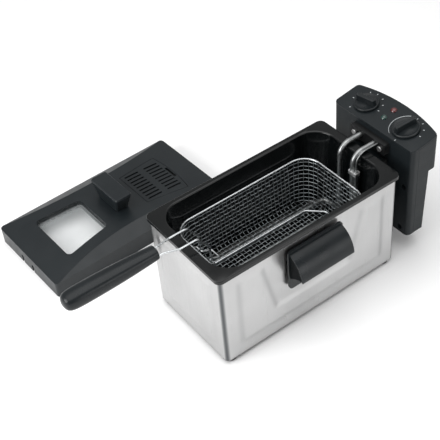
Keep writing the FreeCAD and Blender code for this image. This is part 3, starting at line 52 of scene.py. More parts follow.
joints = {joint["name"]: joint for joint in frame["joints"]}
MM = 0.001


# Materials
class Shading:
    """A principled material whose colour, gloss and relief vary with position on the object."""

    def __init__(self, name, metallic=0.0, coat=0.0, specular=0.5, sheen=0.0, alpha=1.0):
        self.material = bpy.data.materials.new(name)
        self.material.use_nodes = True
        self.tree = self.material.node_tree
        self.shader = self.tree.nodes["Principled BSDF"]
        self.shader.inputs["Metallic"].default_value = metallic
        self.shader.inputs["Coat Weight"].default_value = coat
        self.shader.inputs["Specular IOR Level"].default_value = specular
        self.shader.inputs["Sheen Weight"].default_value = sheen
        self.shader.inputs["Alpha"].default_value = alpha
        self.place = self.add("ShaderNodeTexCoord").outputs["Object"]

    def add(self, kind, **settings):
        node = self.tree.nodes.new(kind)
        for key, value in settings.items():
            setattr(node, key, value)
        return node

    def link(self, source, target):
        self.tree.links.new(source, target)

    def noise(self, scale, detail=3.0, stretch=(1, 1, 1)):
        """Noise of about scale cells to the metre, drawn out along an axis where stretch is small."""
        mapping = self.add("ShaderNodeMapping")
        mapping.inputs["Scale"].default_value = stretch
        self.link(self.place, mapping.inputs["Vector"])
        texture = self.add("ShaderNodeTexNoise")
        texture.inputs["Scale"].default_value = scale
        texture.inputs["Detail"].default_value = detail
        self.link(mapping.outputs["Vector"], texture.inputs["Vector"])
        return texture.outputs["Fac"]

    def colour(self, source, low, high, start=0.35, end=0.65):
        ramp = self.add("ShaderNodeValToRGB")
        ramp.color_ramp.elements[0].position = start
        ramp.color_ramp.elements[0].color = (*low, 1)
        ramp.color_ramp.elements[1].position = end
        ramp.color_ramp.elements[1].color = (*high, 1)
        self.link(source, ramp.inputs["Fac"])
        self.link(ramp.outputs["Color"], self.shader.inputs["Base Color"])

    def rough(self, source, low, high, start=0.3, end=0.7):
        spread = self.add("ShaderNodeMapRange")
        spread.inputs["From Min"].default_value = start
        spread.inputs["From Max"].default_value = end
        spread.inputs["To Min"].default_value = low
        spread.inputs["To Max"].default_value = high
        self.link(source, spread.inputs["Value"])
        self.link(spread.outputs["Result"], self.shader.inputs["Roughness"])

    def relief(self, source, depth, strength=1.0):
        bump = self.add("ShaderNodeBump")
        bump.inputs["Distance"].default_value = depth
        bump.inputs["Strength"].default_value = strength
        self.link(source, bump.inputs["Height"])
        self.link(bump.outputs["Normal"], self.shader.inputs["Normal"])


def brushed_steel():
    """Brushed sheet, darkened by a per-point attribute: a painted dark reflection down the vertical corners
    and painted shade on the raised panels' slopes.
    """
    made = Shading("casing_brushed_steel", metallic=1.0)
    streaks = made.noise(900, 4, (1, 1, 0.02))
    made.colour(made.noise(9, 2), (0.51, 0.51, 0.51), (0.59, 0.59, 0.59))
    # Painted shade: the attribute mixes a dark grey into the steel at the corner bends and on the panel
    # slopes.
    painted_shade_mask = made.add("ShaderNodeAttribute", attribute_name="painted_shade")
    shade_mix = made.add("ShaderNodeMix", data_type="RGBA")
    shade_mix.inputs["B"].default_value = (0.10, 0.105, 0.11, 1)
    made.link(painted_shade_mask.outputs["Fac"], shade_mix.inputs["Factor"])
    made.link(made.shader.inputs["Base Color"].links[0].from_socket, shade_mix.inputs["A"])
    made.link(shade_mix.outputs["Result"], made.shader.inputs["Base Color"])
    made.rough(streaks, 0.27, 0.40)
    made.relief(streaks, 0.00003, 0.4)
    return made.material


def bright_wire(name, low, high, rough):
    made = Shading(name, metallic=1.0)
    made.colour(made.noise(60, 3), low, high)
    made.rough(made.noise(300, 3), rough * 0.7, rough * 1.3)
    made.relief(made.noise(700, 2), 0.00001, 0.2)
    return made.material


def moulded_plastic(name, low, high, rough, grain, specular=0.5):
    made = Shading(name, specular=specular)
    made.colour(made.noise(18, 3), low, high)
    made.rough(made.noise(45, 4), rough - 0.05, rough + 0.06)
    made.relief(made.noise(2200, 2), grain, 0.6)
    return made.material


def enamel():
    made = Shading("bowl_enamel", coat=0.1, specular=0.34)
    made.colour(made.noise(2600, 2), (0.0022, 0.0028, 0.0030), (0.0070, 0.0082, 0.0085), 0.5, 0.8)
    made.rough(made.noise(30, 3), 0.13, 0.22)
    made.relief(made.noise(160, 2), 0.00004, 0.3)
    return made.material


def window_glass():
    made = Shading("window_glass", specular=0.5, alpha=0.16)
    # The pale film of colour stands in for the glass's reflection of the light above: painted reflection,
    # with a faint bluish tint of the glass.
    made.colour(made.noise(14, 2), (0.72, 0.76, 0.77), (0.82, 0.86, 0.87))
    made.rough(made.noise(70, 3), 0.04, 0.10)
    return made.material


def lamp_lens(name, low, high):
    made = Shading(name, coat=0.6, specular=0.6)
    made.colour(made.noise(700, 2), low, high)
    made.rough(made.noise(200, 2), 0.10, 0.18)
    made.relief(made.noise(1600, 1, (1, 1, 0.2)), 0.00008, 0.5)
    return made.material


def felt():
    made = Shading("filter_felt", sheen=0.4)
    made.colour(made.noise(900, 5), (0.003, 0.003, 0.003), (0.012, 0.012, 0.012))
    made.rough(made.noise(400, 3), 0.8, 0.95)
    made.relief(made.noise(1200, 4), 0.0004, 0.8)
    return made.material


def print_ink():
    made = Shading("panel_ink", specular=0.3)
    made.colour(made.noise(1400, 4), (0.30, 0.32, 0.33), (0.46, 0.48, 0.49))
    made.rough(made.noise(500, 2), 0.5, 0.65)
    return made.material


STEEL = brushed_steel()
WIRE = bright_wire("bright_wire", (0.52, 0.54, 0.55), (0.66, 0.68, 0.69), 0.26)
MESH_WIRE = bright_wire("mesh_wire", (0.34, 0.37, 0.385), (0.46, 0.49, 0.50), 0.34)
ELEMENT = bright_wire("element_tube", (0.30, 0.31, 0.31), (0.40, 0.41, 0.41), 0.36)
SCREW = bright_wire("screw_steel", (0.60, 0.60, 0.60), (0.74, 0.74, 0.74), 0.4)
LID_PLASTIC = moulded_plastic(
    "lid_plastic", (0.0075, 0.0105, 0.0125), (0.0105, 0.0140, 0.0160), 0.36, 0.00005, 0.38)
UNIT_PLASTIC = moulded_plastic(
    "unit_plastic", (0.0070, 0.0098, 0.0115), (0.0100, 0.0132, 0.0150), 0.42, 0.00006, 0.24)
HANDLE_PLASTIC = moulded_plastic(
    "handle_plastic", (0.0062, 0.0085, 0.0100), (0.0090, 0.0118, 0.0135), 0.30, 0.00003, 0.30)
KNOB_PLASTIC = moulded_plastic(
    "knob_plastic", (0.0055, 0.0078, 0.0090), (0.0080, 0.0105, 0.0120), 0.30, 0.00003, 0.32)
# Darker, matt black for the side handles' end webs: painted shade in the hollow under the hood.
WEB_SHADE_PLASTIC = moulded_plastic(
    "handle_web_painted_shade", (0.0030, 0.0040, 0.0045), (0.0050, 0.0062, 0.0068), 0.62, 0.00010, 0.08)
BLACK_STEEL = moulded_plastic(
    "black_steel", (0.004, 0.0044, 0.0046), (0.008, 0.0086, 0.009), 0.40, 0.00003, 0.4)
RUBBER = moulded_plastic("rubber", (0.006, 0.006, 0.006), (0.012, 0.012, 0.012), 0.7, 0.0001, 0.35)
WORKS = moulded_plastic("works_resin", (0.45, 0.42, 0.36), (0.58, 0.54, 0.47), 0.5, 0.00004)
ENAMEL = enamel()
GLASS = window_glass()
RED_LENS = lamp_lens("red_lens", (0.055, 0.003, 0.004), (0.11, 0.006, 0.007))
GREEN_LENS = lamp_lens("green_lens", (0.004, 0.022, 0.018), (0.008, 0.045, 0.036))
FELT = felt()
INK = print_ink()

LOOKS = {
    STEEL: ["outer_casing"],
    ENAMEL: ["oil_bowl"],
    BLACK_STEEL: ["base_plate", "element_bracket", "control_guide"],
    RUBBER: ["feet", "cord_inlet"],
    SCREW: ["foot_screws", "handle_screws", "guide_rivets", "shell_screws", "bracket_screws",
            "lid_handle_screws", "sensor_clip", "timer_shaft", "thermostat_shaft"],
    HANDLE_PLASTIC: ["side_handle_front", "side_handle_back", "handle_grip"],
    UNIT_PLASTIC: ["control_front_shell", "control_rear_shell", "control_panel"],
    LID_PLASTIC: ["lid_shell", "lid_handle", "window_frame", "filter_tray", "filter_cover"],
    KNOB_PLASTIC: ["timer_knob", "thermostat_knob"],
    ELEMENT: ["heating_element", "sensor_probe"],
    WORKS: ["thermostat", "timer", "thermal_cutout"],
    RED_LENS: ["lamp_red"],
    GREEN_LENS: ["lamp_green"],
    WIRE: ["basket_floor", "basket_wall_front", "basket_wall_back", "basket_wall_left", "basket_wall_right",
           "basket_corner_front_left", "basket_corner_front_right", "basket_corner_back_left",
           "basket_corner_back_right", "basket_rim_wire", "basket_floor_wire", "basket_handle_bracket",
           "handle_wires"],
    GLASS: ["window_glass"],
    FELT: ["filter_pad"],
}


# Edges: shaded smooth up to an angle, and rounded by a bevel beyond another
WELD_DISTANCE = 0.002 * MM
ROUND_DEGREES = 28
CRISP_DEGREES = 9
CRISP_NODES = ("lid_shell",)
FLAT_DEGREES = 0.3
EDGE_DEGREES = 38
MOULDING_EDGE_DEGREES = 50
BEVEL_SEGMENTS = 3
# Bevel widths in millimetres.
BEVELS = {
    "lid_shell": 1.2, "lid_handle": 1.6, "filter_cover": 0.4, "window_glass": 0.3,
    "control_panel": 0.6, "control_front_shell": 1.2, "control_rear_shell": 1.2,
    "element_bracket": 0.5, "bracket_screws": 0.6,
}


def smooth_group(name, sharp_degrees):
    """Geometry nodes that weld a mesh and shade it smooth except along its sharp edges."""
    group = bpy.data.node_groups.new(name, "GeometryNodeTree")
    group.interface.new_socket("Mesh", in_out="INPUT", socket_type="NodeSocketGeometry")
    group.interface.new_socket("Mesh", in_out="OUTPUT", socket_type="NodeSocketGeometry")
    start = group.nodes.new("NodeGroupInput")
    weld = group.nodes.new("GeometryNodeMergeByDistance")
    weld.inputs["Distance"].default_value = WELD_DISTANCE
    faces = group.nodes.new("GeometryNodeSetShadeSmooth")
    edges = group.nodes.new("GeometryNodeSetShadeSmooth")
    edges.domain = "EDGE"
    edges.inputs["Shade Smooth"].default_value = False
    angle = group.nodes.new("GeometryNodeInputMeshEdgeAngle")
    sharp = group.nodes.new("FunctionNodeCompare")
    sharp.operation = "GREATER_THAN"
    sharp.inputs[1].default_value = math.radians(sharp_degrees)
    finish = group.nodes.new("NodeGroupOutput")
    group.links.new(start.outputs[0], weld.inputs["Geometry"])
    group.links.new(weld.outputs["Geometry"], faces.inputs["Geometry"])
    group.links.new(faces.outputs["Geometry"], edges.inputs["Geometry"])
    group.links.new(angle.outputs["Unsigned Angle"], sharp.inputs[0])
    group.links.new(sharp.outputs["Result"], edges.inputs["Selection"])
    group.links.new(edges.outputs["Geometry"], finish.inputs[0])
    return group


SMOOTH = smooth_group("smooth_round", ROUND_DEGREES)
CRISP = smooth_group("smooth_crisp", CRISP_DEGREES)


def soften_edges(piece, width, degrees):
    bevel = piece.modifiers.new("edge", "BEVEL")
    bevel.width = width * MM
    bevel.segments = BEVEL_SEGMENTS
    bevel.limit_method = "ANGLE"
    bevel.angle_limit = math.radians(degrees)
    bevel.harden_normals = True


def dress_cad():
    for look, names in LOOKS.items():
        for name in names:
            piece = nodes[name]
            piece.data.materials.clear()
            piece.data.materials.append(look)
            weld = piece.modifiers.new("smooth", "NODES")
            weld.node_group = CRISP if name in CRISP_NODES else SMOOTH
            if name in BEVELS:
                flat = piece.modifiers.new("flat", "DECIMATE")
                flat.decimate_type = "DISSOLVE"
                flat.angle_limit = math.radians(FLAT_DEGREES)
                soften_edges(piece, BEVELS[name], EDGE_DEGREES)


# Mesh building
def mesh_piece(name, verts, faces, look, body):
    mesh = bpy.data.meshes.new(name)
    mesh.from_pydata(verts, [], faces)
    mesh.polygons.foreach_set("use_smooth", [True] * len(mesh.polygons))
    mesh.materials.append(look)
    mesh.update()
    piece = bpy.data.objects.new(name, mesh)
    bpy.context.scene.collection.objects.link(piece)
    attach(piece, body)
    return piece


def ring_faces(rings, sides):
    """Faces of a closed skin over rings of points, the rings listed anticlockwise from the bottom up."""
    faces = [tuple(reversed(range(sides)))]
    for i in range(rings - 1):
        a = i * sides
        for k in range(sides):
            n = (k + 1) % sides
            faces.append((a + k, a + n, a + sides + n, a + sides + k))
    last = (rings - 1) * sides
    faces.append(tuple(last + k for k in range(sides)))
    return faces


def prism(verts, faces, section, begin, finish, place):
    """A closed bar of a section drawn with its outline anticlockwise."""
    first = len(verts)
    for far in (begin, finish):
        verts += [place(far, *spot) for spot in section]
    faces += [tuple(first + k for k in face) for face in ring_faces(2, len(section))]


def rounded_plan(half_x, low, high, corner, steps=6):
    """A rounded rectangle's outline, anticlockwise."""
    points = []
    for i, j, start in ((1, 0, 270), (1, 1, 0), (-1, 1, 90), (-1, 0, 180)):
        x = (half_x - corner) * i
        y = high - corner if j else low + corner
        for k in range(steps + 1):
            turn = math.radians(start + 90 * k / steps)
            points.append((x + corner * math.cos(turn), y + corner * math.sin(turn)))
    return points


class Tubes:
    """Round wires gathered into one mesh."""

    FIRST_SIDE = Vector((0.123, 0.371, 0.921))

    def __init__(self, sides=6):
        self.sides = sides
        self.verts = []
        self.faces = []

    def add(self, path, radius, closed=False):
        first = len(self.verts)
        count = len(path)
        side = self.FIRST_SIDE
        for i, spot in enumerate(path):
            before = path[i - 1] if closed or i else path[0]
            after = path[(i + 1) % count] if closed or i + 1 < count else path[-1]
            aim = (after - before).normalized()
            side = (side - aim * side.dot(aim)).normalized()
            up = aim.cross(side)
            for k in range(self.sides):
                turn = 2 * math.pi * k / self.sides
                self.verts.append(spot + side * (math.cos(turn) * radius) + up * (math.sin(turn) * radius))
        n = self.sides
        spans = count if closed else count - 1
        for i in range(spans):
            a = first + i * n
            b = first + (i + 1) % count * n
            shift = 0
            if closed and i == spans - 1:
                gaps = [(self.verts[a] - self.verts[b + k]).length for k in range(n)]
                shift = gaps.index(min(gaps))
            for k in range(n):
                self.faces.append((a + k, a + (k + 1) % n, b + (k + 1 + shift) % n, b + (k + shift) % n))
        if not closed:
            self.faces.append(tuple(first + k for k in reversed(range(n))))
            self.faces.append(tuple(first + (count - 1) * n + k for k in range(n)))


def resample(points, step):
    """Points at an even step along a polyline."""
    out = [points[0]]
    for a, b in zip(points, points[1:]):
        count = max(1, round((b - a).length / step))
        out += [a.lerp(b, (i + 1) / count) for i in range(count)]
    return out


def rounded_corner(before, corner, after, radius, steps=5):
    """Points of an arc that replaces a corner of a polyline."""
    back = (before - corner).normalized()
    ahead = (after - corner).normalized()
    half = back.angle(ahead) / 2
    begin = corner + back * (radius / math.tan(half))
    finish = corner + ahead * (radius / math.tan(half))
    centre = corner + (back + ahead).normalized() * (radius / math.sin(half))
    points = []
    for i in range(steps + 1):
        arm = (begin - centre).slerp(finish - centre, i / steps).normalized() * radius
        points.append(centre + arm)
    return points


# Basket: woven wire, from the rim wire's and the floor's places in the frame
MESH_PITCH = 6.84 * MM
MESH_RADIUS = 0.48 * MM
BASKET_CORNER = 28.5 * MM
FLOOR_BEND = 7.0 * MM
RING_COUNT = 11
RING_RISE = 1.5 * MM
RING_CORNER_STEPS = 12
CORNER_WIRES = 6
CORNER_WIRE_FOOT = 1.0 * MM
LANE_MARGIN = 2.0 * MM
WEAVE_SWING = MESH_RADIUS * 0.9
WIRE_STEP = MESH_PITCH / 4
NO_LENGTH = 1e-6


def weave(points, normal_of, phase, amplitude):
    """Pushes a wire in and out along its surface's normal, once for every crossing."""
    out = []
    travelled = 0.0
    for i, spot in enumerate(points):
        if i:
            travelled += (spot - points[i - 1]).length
        swing = math.cos(math.pi * (travelled / MESH_PITCH + phase))
        out.append(spot + normal_of(spot) * (amplitude * swing))
    return out


def rounded_loop(middle, half_x, half_y, radius, z):
    """An evenly sampled rounded rectangle."""
    corners = [Vector((middle.x + half_x * i, middle.y + half_y * j, z))
               for i, j in ((-1, -1), (1, -1), (1, 1), (-1, 1))]
    points = []
    for k in range(4):
        points += rounded_corner(corners[k - 1], corners[k], corners[(k + 1) % 4], radius, RING_CORNER_STEPS)
    loop = resample(points + points[:1], WIRE_STEP)
    return loop[:-1]


class BasketSkin:
    """The basket's form: its rim, its floor and walls that lean in towards the floor."""

    def __init__(self):
        low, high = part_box("basket_rim_wire")
        floor_low, floor_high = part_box("basket_floor")
        rim_radius = (high.z - low.z) / 2
        self.middle = (low + high) / 2
        self.top = self.middle.z
        self.floor = (floor_low.z + floor_high.z) / 2
        self.half = [(high.x - low.x) / 2 - rim_radius, (high.y - low.y) / 2 - rim_radius]
        self.reach = [(floor_high.x - floor_low.x) / 2, (floor_high.y - floor_low.y) / 2]
        self.draft = self.half[0] - self.reach[0]

    def halves(self, z):
        """Half the length and half the width at a level."""
        inset = self.draft * (self.top - z) / (self.top - self.floor)
        return self.half[0] - inset, self.half[1] - inset

    def inward(self, spot):
        """Direction from a spot of the skin towards the inside."""
        if spot.z < self.floor + FLOOR_BEND / 2:
            return Vector((0, 0, 1))
        half_x, half_y = self.halves(spot.z)
        dx = spot.x - self.middle.x
        dy = spot.y - self.middle.y
        away = Vector((math.copysign(max(0, abs(dx) - (half_x - BASKET_CORNER)), dx),
                       math.copysign(max(0, abs(dy) - (half_y - BASKET_CORNER)), dy), 0))
        return -away.normalized() if away.length > NO_LENGTH else Vector((0, 0, 1))

    def lane_path(self, axis, lane):
        """Down one wall, over the floor and up the other wall, or near a corner over the floor alone."""
        half, reach = self.half[axis], self.reach[axis]

        def spot(along, z):
            place = [0.0, 0.0, z]
            place[axis] = self.middle[axis] + along
            place[1 - axis] = self.middle[1 - axis] + lane
            return Vector(place)

        if abs(lane) <= self.half[1 - axis] - self.draft - BASKET_CORNER:
            corners = [spot(-half, self.top), spot(-reach, self.floor),
                       spot(reach, self.floor), spot(half, self.top)]
            return [corners[0], *rounded_corner(*corners[:3], FLOOR_BEND),
                    *rounded_corner(*corners[1:], FLOOR_BEND), corners[3]]
        past = abs(lane) - (self.reach[1 - axis] - BASKET_CORNER)
        end = reach - BASKET_CORNER + math.sqrt(max(0.0, BASKET_CORNER ** 2 - past ** 2))
        return [spot(-end, self.floor), spot(end, self.floor)]

    def corner_path(self, i, j, degrees):
        """Down a rounded corner, which i and j choose by the signs of its x and y."""
        turn = math.radians(degrees)
        path = []
        for z in (self.top, self.floor + CORNER_WIRE_FOOT):
            half_x, half_y = self.halves(z)
            x = half_x - BASKET_CORNER + BASKET_CORNER * math.cos(turn)
            y = half_y - BASKET_CORNER + BASKET_CORNER * math.sin(turn)
            path.append(Vector((self.middle.x + x * i, self.middle.y + y * j, z)))
        return path


def make_basket_mesh():
    skin = BasketSkin()
    tubes = Tubes()

    def add(path, phase):
        tubes.add(weave(resample(path, WIRE_STEP), skin.inward, phase, WEAVE_SWING), MESH_RADIUS)

    for axis in (0, 1):
        count = int((skin.reach[1 - axis] - LANE_MARGIN) // MESH_PITCH)
        for k in range(-count, count + 1):
            add(skin.lane_path(axis, k * MESH_PITCH), (k + axis) % 2)
    for i in (-1, 1):
        for j in (-1, 1):
            for k in range(CORNER_WIRES):
                add(skin.corner_path(i, j, 90 * (k + 0.5) / CORNER_WIRES), k % 2)
    for k in range(RING_COUNT):
        z = skin.floor + (skin.top - skin.floor) * k / RING_COUNT + RING_RISE
        ring = rounded_loop(skin.middle, *skin.halves(z), BASKET_CORNER, z)
        tubes.add(weave(ring, skin.inward, (k + 1) % 2, -WEAVE_SWING), MESH_RADIUS, closed=True)
    piece = mesh_piece("basket_woven_mesh", tubes.verts, tubes.faces, MESH_WIRE, "basket")
    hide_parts("basket_floor", "basket_wall_front", "basket_wall_back", "basket_wall_left",
                "basket_wall_right", "basket_corner_front_left", "basket_corner_front_right",
                "basket_corner_back_left", "basket_corner_back_right")


# Casing: one pressed sheet, its raised panels rising softly
SHEET = 1.0 * MM
EMBOSS = 1.8 * MM
CASING_CORNER = 6.0 * MM
CASING_STEP = 2.5 * MM
SOFTENING_PASSES = 4
# Share of painted shade on the raised panels' slopes, for each wall.
SLOPE_PAINTED_SHADE = {"front": 0.22, "back": 0.22, "left": 0.05}
CORNER_STEPS = 8
# Outlines of the raised panels in millimetres, from the middle of the wall's lower edge.
FRONT_PANEL = [(-125, 20), (125, 20), (125, 137), (83, 137), (62, 53.5), (-62, 53.5), (-83, 137), (-125, 137)]
END_PANEL = [(-60, 20), (60, 20), (60, 137), (-60, 137)]
PANELS = {"front": FRONT_PANEL, "back": FRONT_PANEL, "left": END_PANEL}


def inside_by(outline, x, y):
    """Distance from a spot to a polygon's edge, positive inside it."""
    nearest = math.inf
    inside = False
    for (ax, ay), (bx, by) in zip(outline, outline[1:] + outline[:1]):
        ex, ey = bx - ax, by - ay
        share = min(1, max(0, ((x - ax) * ex + (y - ay) * ey) / (ex * ex + ey * ey)))
        nearest = min(nearest, math.hypot(x - ax - ex * share, y - ay - ey * share))
        if (ay > y) != (by > y) and x < ax + ex * (y - ay) / ey:
            inside = not inside
    return nearest if inside else -nearest


def casing_loop(half_x, half_y):
    """Spots round the casing: place, outward direction, wall, distance along that wall and share of painted
    dark reflection, which is highest midway round each corner bend.
    """
    loop = []
    sides = (("front", (1, 0), half_x, half_y), ("right", (0, 1), half_y, half_x),
             ("back", (-1, 0), half_x, half_y), ("left", (0, -1), half_y, half_x))
    for wall, (ahead_x, ahead_y), half, reach in sides:
        along = Vector((ahead_x, ahead_y))
        out = Vector((ahead_y, -ahead_x))
        flat = half - CASING_CORNER
        count = round(2 * flat / CASING_STEP)
        for i in range(count + 1):
            far = -flat + 2 * flat * i / count
            loop.append((along * far + out * reach, out, wall, far, 0.0))
        centre = along * flat + out * (reach - CASING_CORNER)
        for i in range(1, CORNER_STEPS):
            turn = math.radians(90 * i / CORNER_STEPS)
            away = out * math.cos(turn) + along * math.sin(turn)
            # The corners carry a painted dark reflection, strongest midway round each bend.
            loop.append((centre + away * CASING_CORNER, away, "corner", 0.0, math.sin(2 * turn)))
    return loop


def panel_rise(loop, levels):
    """Share of the full height by which each spot of the walls is raised, softened at the panels' edges."""
    rise = np.zeros((len(loop), len(levels)))
    for i, (_, _, wall, far, _) in enumerate(loop):
        for j, z in enumerate(levels):
            if wall in PANELS:
                depth = inside_by(PANELS[wall], far / MM, (z - levels[0]) / MM) * MM
                rise[i, j] = min(1, max(0, depth / CASING_STEP - 0.5))
    for _ in range(SOFTENING_PASSES):
        tall = np.pad(rise, ((0, 0), (1, 1)), mode="edge")
        rise = rise / 2 + (np.roll(rise, 1, 0) + np.roll(rise, -1, 0) + tall[:, 2:] + tall[:, :-2]) / 8
    return rise


def make_casing_sheet():
    low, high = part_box("outer_casing")
    loop = casing_loop(high.x, high.y - EMBOSS)
    rows = round((high.z - low.z) / CASING_STEP)
    levels = [low.z + (high.z - low.z) * i / rows for i in range(rows + 1)]
    rise = panel_rise(loop, levels)
    steep = np.abs(np.roll(rise, 1, 0) - np.roll(rise, -1, 0))
    slope_shade = np.array([SLOPE_PAINTED_SHADE.get(wall, 0.0) for _, _, wall, _, _ in loop])
    # Painted shade on the panels' slopes, strongest where they are steepest.
    stretch = slope_shade[:, None] * steep / steep.max()
    verts = []
    painted_shades = []
    for i, (spot, away, _, _, painted_shade) in enumerate(loop):
        for j, z in enumerate(levels):
            for skin in (0.0, SHEET):
                place = spot + away * (EMBOSS * rise[i, j] - skin)
                verts.append((place.x, place.y, z))
                # Each point's painted shade is the larger of the corner's painted reflection and the slope's
                # painted shade.
                painted_shades.append(max(painted_shade, stretch[i, j]))
    faces = []
    tall = rows + 1
    for i in range(len(loop)):
        a = i * tall * 2
        b = (i + 1) % len(loop) * tall * 2
        for j in range(0, rows * 2, 2):
            faces.append((a + j, b + j, b + j + 2, a + j + 2))
            faces.append((a + j + 1, a + j + 3, b + j + 3, b + j + 1))
        top = rows * 2
        faces.append((a, a + 1, b + 1, b))
        faces.append((a + top, b + top, b + top + 1, a + top + 1))
    piece = mesh_piece("casing_sheet", verts, faces, STEEL, "casing")
    # The painted shade goes to the steel material as a point attribute.
    piece.data.attributes.new("painted_shade", "FLOAT", "POINT").data.foreach_set("value", painted_shades)
    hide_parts("outer_casing")


# Side handles: a plate with a rolled hood, closed at its ends; sizes in millimetres
HANDLE = {"standoff": 3.5, "face": 7.0, "step": 4.5, "corner": 6.0, "foot_sink": 0.5,
          "lip_low": 31.0, "wall": 3.3, "hood_inset": 2.0, "root_sink": 1.5,
          "web": 2.5, "web_inset": 2.0, "web_low": 19.0, "web_sink": 0.3}
FOOT_INSET_SHARE = 0.25
HOOD_ROUNDNESS = 1.75
HOOD_STEPS = 20
LIP_STEPS = 6
ARCH_STEPS = 8
WEB_REACH_SHARE = 0.6
HANDLE_EDGE = 1.2


def rolled(reach, rise):
    """A quarter of a soft ellipse from straight up to straight out."""
    turns = [math.pi / 2 * i / HOOD_STEPS for i in range(HOOD_STEPS + 1)]
    power = 2 / HOOD_ROUNDNESS
    return [(reach * math.sin(t) ** power, rise * math.cos(t) ** power) for t in turns]


def make_side_handle(node, sign):
    low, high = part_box(node)
    size = {key: value * MM for key, value in HANDLE.items()}
    wall = abs(high.y if sign < 0 else low.y)
    reach = abs(low.y if sign < 0 else high.y) - wall
    half = (high.x - low.x) / 2
    tall = high.z - low.z
    verts = []
    faces = []

    def by_section(far, out, up):
        return (far * -sign, (wall + out) * sign, low.z + up)

    def by_plan(out, far, up):
        return by_section(far, out, up)

    plate = rounded_plan(half, 0, tall, size["corner"])
    prism(verts, faces, plate, size["standoff"], size["face"], by_plan)
    rim = half * FOOT_INSET_SHARE
    foot = rounded_plan(half - rim, rim, tall - rim, rim / 2)
    prism(verts, faces, foot, 0, size["standoff"] + size["foot_sink"], by_plan)
    root = size["face"] - size["root_sink"]
    rise = tall - size["step"] - size["lip_low"]
    outer = [(root + x, size["lip_low"] + z) for x, z in rolled(reach - root, rise)]
    inner = [(root + x, size["lip_low"] + z)
             for x, z in rolled(reach - root - size["wall"], rise - size["wall"])]
    lip = [(reach - size["wall"] / 2 * (1 - math.cos(t)), size["lip_low"] - size["wall"] / 2 * math.sin(t))
           for t in (math.pi * k / LIP_STEPS for k in range(1, LIP_STEPS))]
    hood = outer + lip + inner[::-1]
    prism(verts, faces, hood[::-1], -half + size["hood_inset"], half - size["hood_inset"], by_section)
    span = reach - root - size["wall"] * WEB_REACH_SHARE
    climb = size["lip_low"] - size["web_low"]
    arch = [(root + span * k / ARCH_STEPS, size["web_low"] + climb * math.sin(math.pi / 2 * k / ARCH_STEPS))
            for k in range(ARCH_STEPS + 1)]
    web = [(x, z + size["web_sink"]) for x, z in inner] + arch[::-1]
    first_web_face = len(faces)
    for side in (-1, 1):
        near = side * (half - size["web_inset"] - size["web"])
        far = near + side * size["web"]
        prism(verts, faces, web[::-1], min(near, far), max(near, far), by_section)
    piece = mesh_piece(node + "_moulding", verts, faces, HANDLE_PLASTIC, "casing")
    # The end webs take the darker plastic: painted shade inside the hood.
    piece.data.materials.append(WEB_SHADE_PLASTIC)
    for face in piece.data.polygons[first_web_face:]:
        face.material_index = 1
    soften_edges(piece, HANDLE_EDGE, MOULDING_EDGE_DEGREES)
    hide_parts(node)


# Basket grip: a smooth moulded handle, fuller towards its end, as shares of its length, width and depth
GRIP_STATIONS = [(0.0, 0.70, 0.62), (0.004, 0.74, 0.66), (0.012, 0.755, 0.68), (0.12, 0.82, 0.76),
                 (0.3, 0.92, 0.88), (0.5, 0.98, 0.96), (0.72, 1.0, 1.0), (0.86, 1.0, 1.0), (0.93, 0.95, 0.94),
                 (0.965, 0.84, 0.82), (0.985, 0.66, 0.64), (0.996, 0.40, 0.38), (1.0, 0.14, 0.13)]
GRIP_SIDES = 32
GRIP_POWER = 2.5


def make_grip():
    low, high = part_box("handle_grip")
    middle = (low + high) / 2
    verts = []
    for share, wide, deep in GRIP_STATIONS:
        for k in range(GRIP_SIDES):
            turn = 2 * math.pi * k / GRIP_SIDES
            c, n = math.cos(turn), math.sin(turn)
            y = math.copysign(abs(c) ** (2 / GRIP_POWER), c) * (high.y - low.y) / 2 * wide
            z = math.copysign(abs(n) ** (2 / GRIP_POWER), n) * (high.z - low.z) / 2 * deep
            verts.append((high.x + (low.x - high.x) * share, middle.y + y, middle.z + z))
    faces = [tuple(reversed(face)) for face in ring_faces(len(GRIP_STATIONS), GRIP_SIDES)]
    piece = mesh_piece("grip_moulding", verts, faces, HANDLE_PLASTIC, "basket_handle")
    rounder = piece.modifiers.new("rounder", "SUBSURF")
    rounder.levels = rounder.render_levels = 1
    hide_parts("handle_grip")


# Knobs: a low dished disc with a bar across it
PANEL_SHEET = 3.0 * MM
KNOB_GAP = 0.4 * MM
KNOB_BAR = 7.4 * MM
KNOB_BAR_FOOT = 2.0 * MM
KNOB_BAR_TOP = 13.5 * MM
KNOB_BAR_REACH = 0.9
KNOB_BAR_ROUNDING = 0.35
KNOB_BAR_TAPER = 0.84
KNOB_EDGE = 0.9
# Shares of the knob's radius and heights in millimetres.
KNOB_PROFILE = [(1.0, 0.0), (1.0, 2.6), (0.985, 3.4), (0.95, 3.9), (0.90, 4.0), (0.86, 3.7), (0.80, 3.4),
                (0.4, 4.2), (0.08, 4.6)]
KNOB_SIDES = 64
CAD_BAR_SHARE = 0.8


def panel_frame(joint):
    """Matrix with its origin on the panel's top under a knob, X up the slope and Z out of the panel."""
    out = -Vector(joint["axis"]).normalized()
    across = Vector((0, 1, 0))
    along = across.cross(out)
    turn = Matrix((along, across, out)).transposed().to_4x4()
    return Matrix.Translation(Vector(joint["pos_m"]) + out * PANEL_SHEET) @ turn


def bar_turn(node, place):
    """Angle of a knob's bar on the panel, from the upper part of its solid."""
    spots = [place.inverted() @ vertex.co for vertex in nodes[node].data.vertices]
    top = max(spot.z for spot in spots)
    spots = [spot for spot in spots if spot.z > top * CAD_BAR_SHARE]
    return 0.5 * math.atan2(2 * sum(s.x * s.y for s in spots), sum(s.x * s.x - s.y * s.y for s in spots))


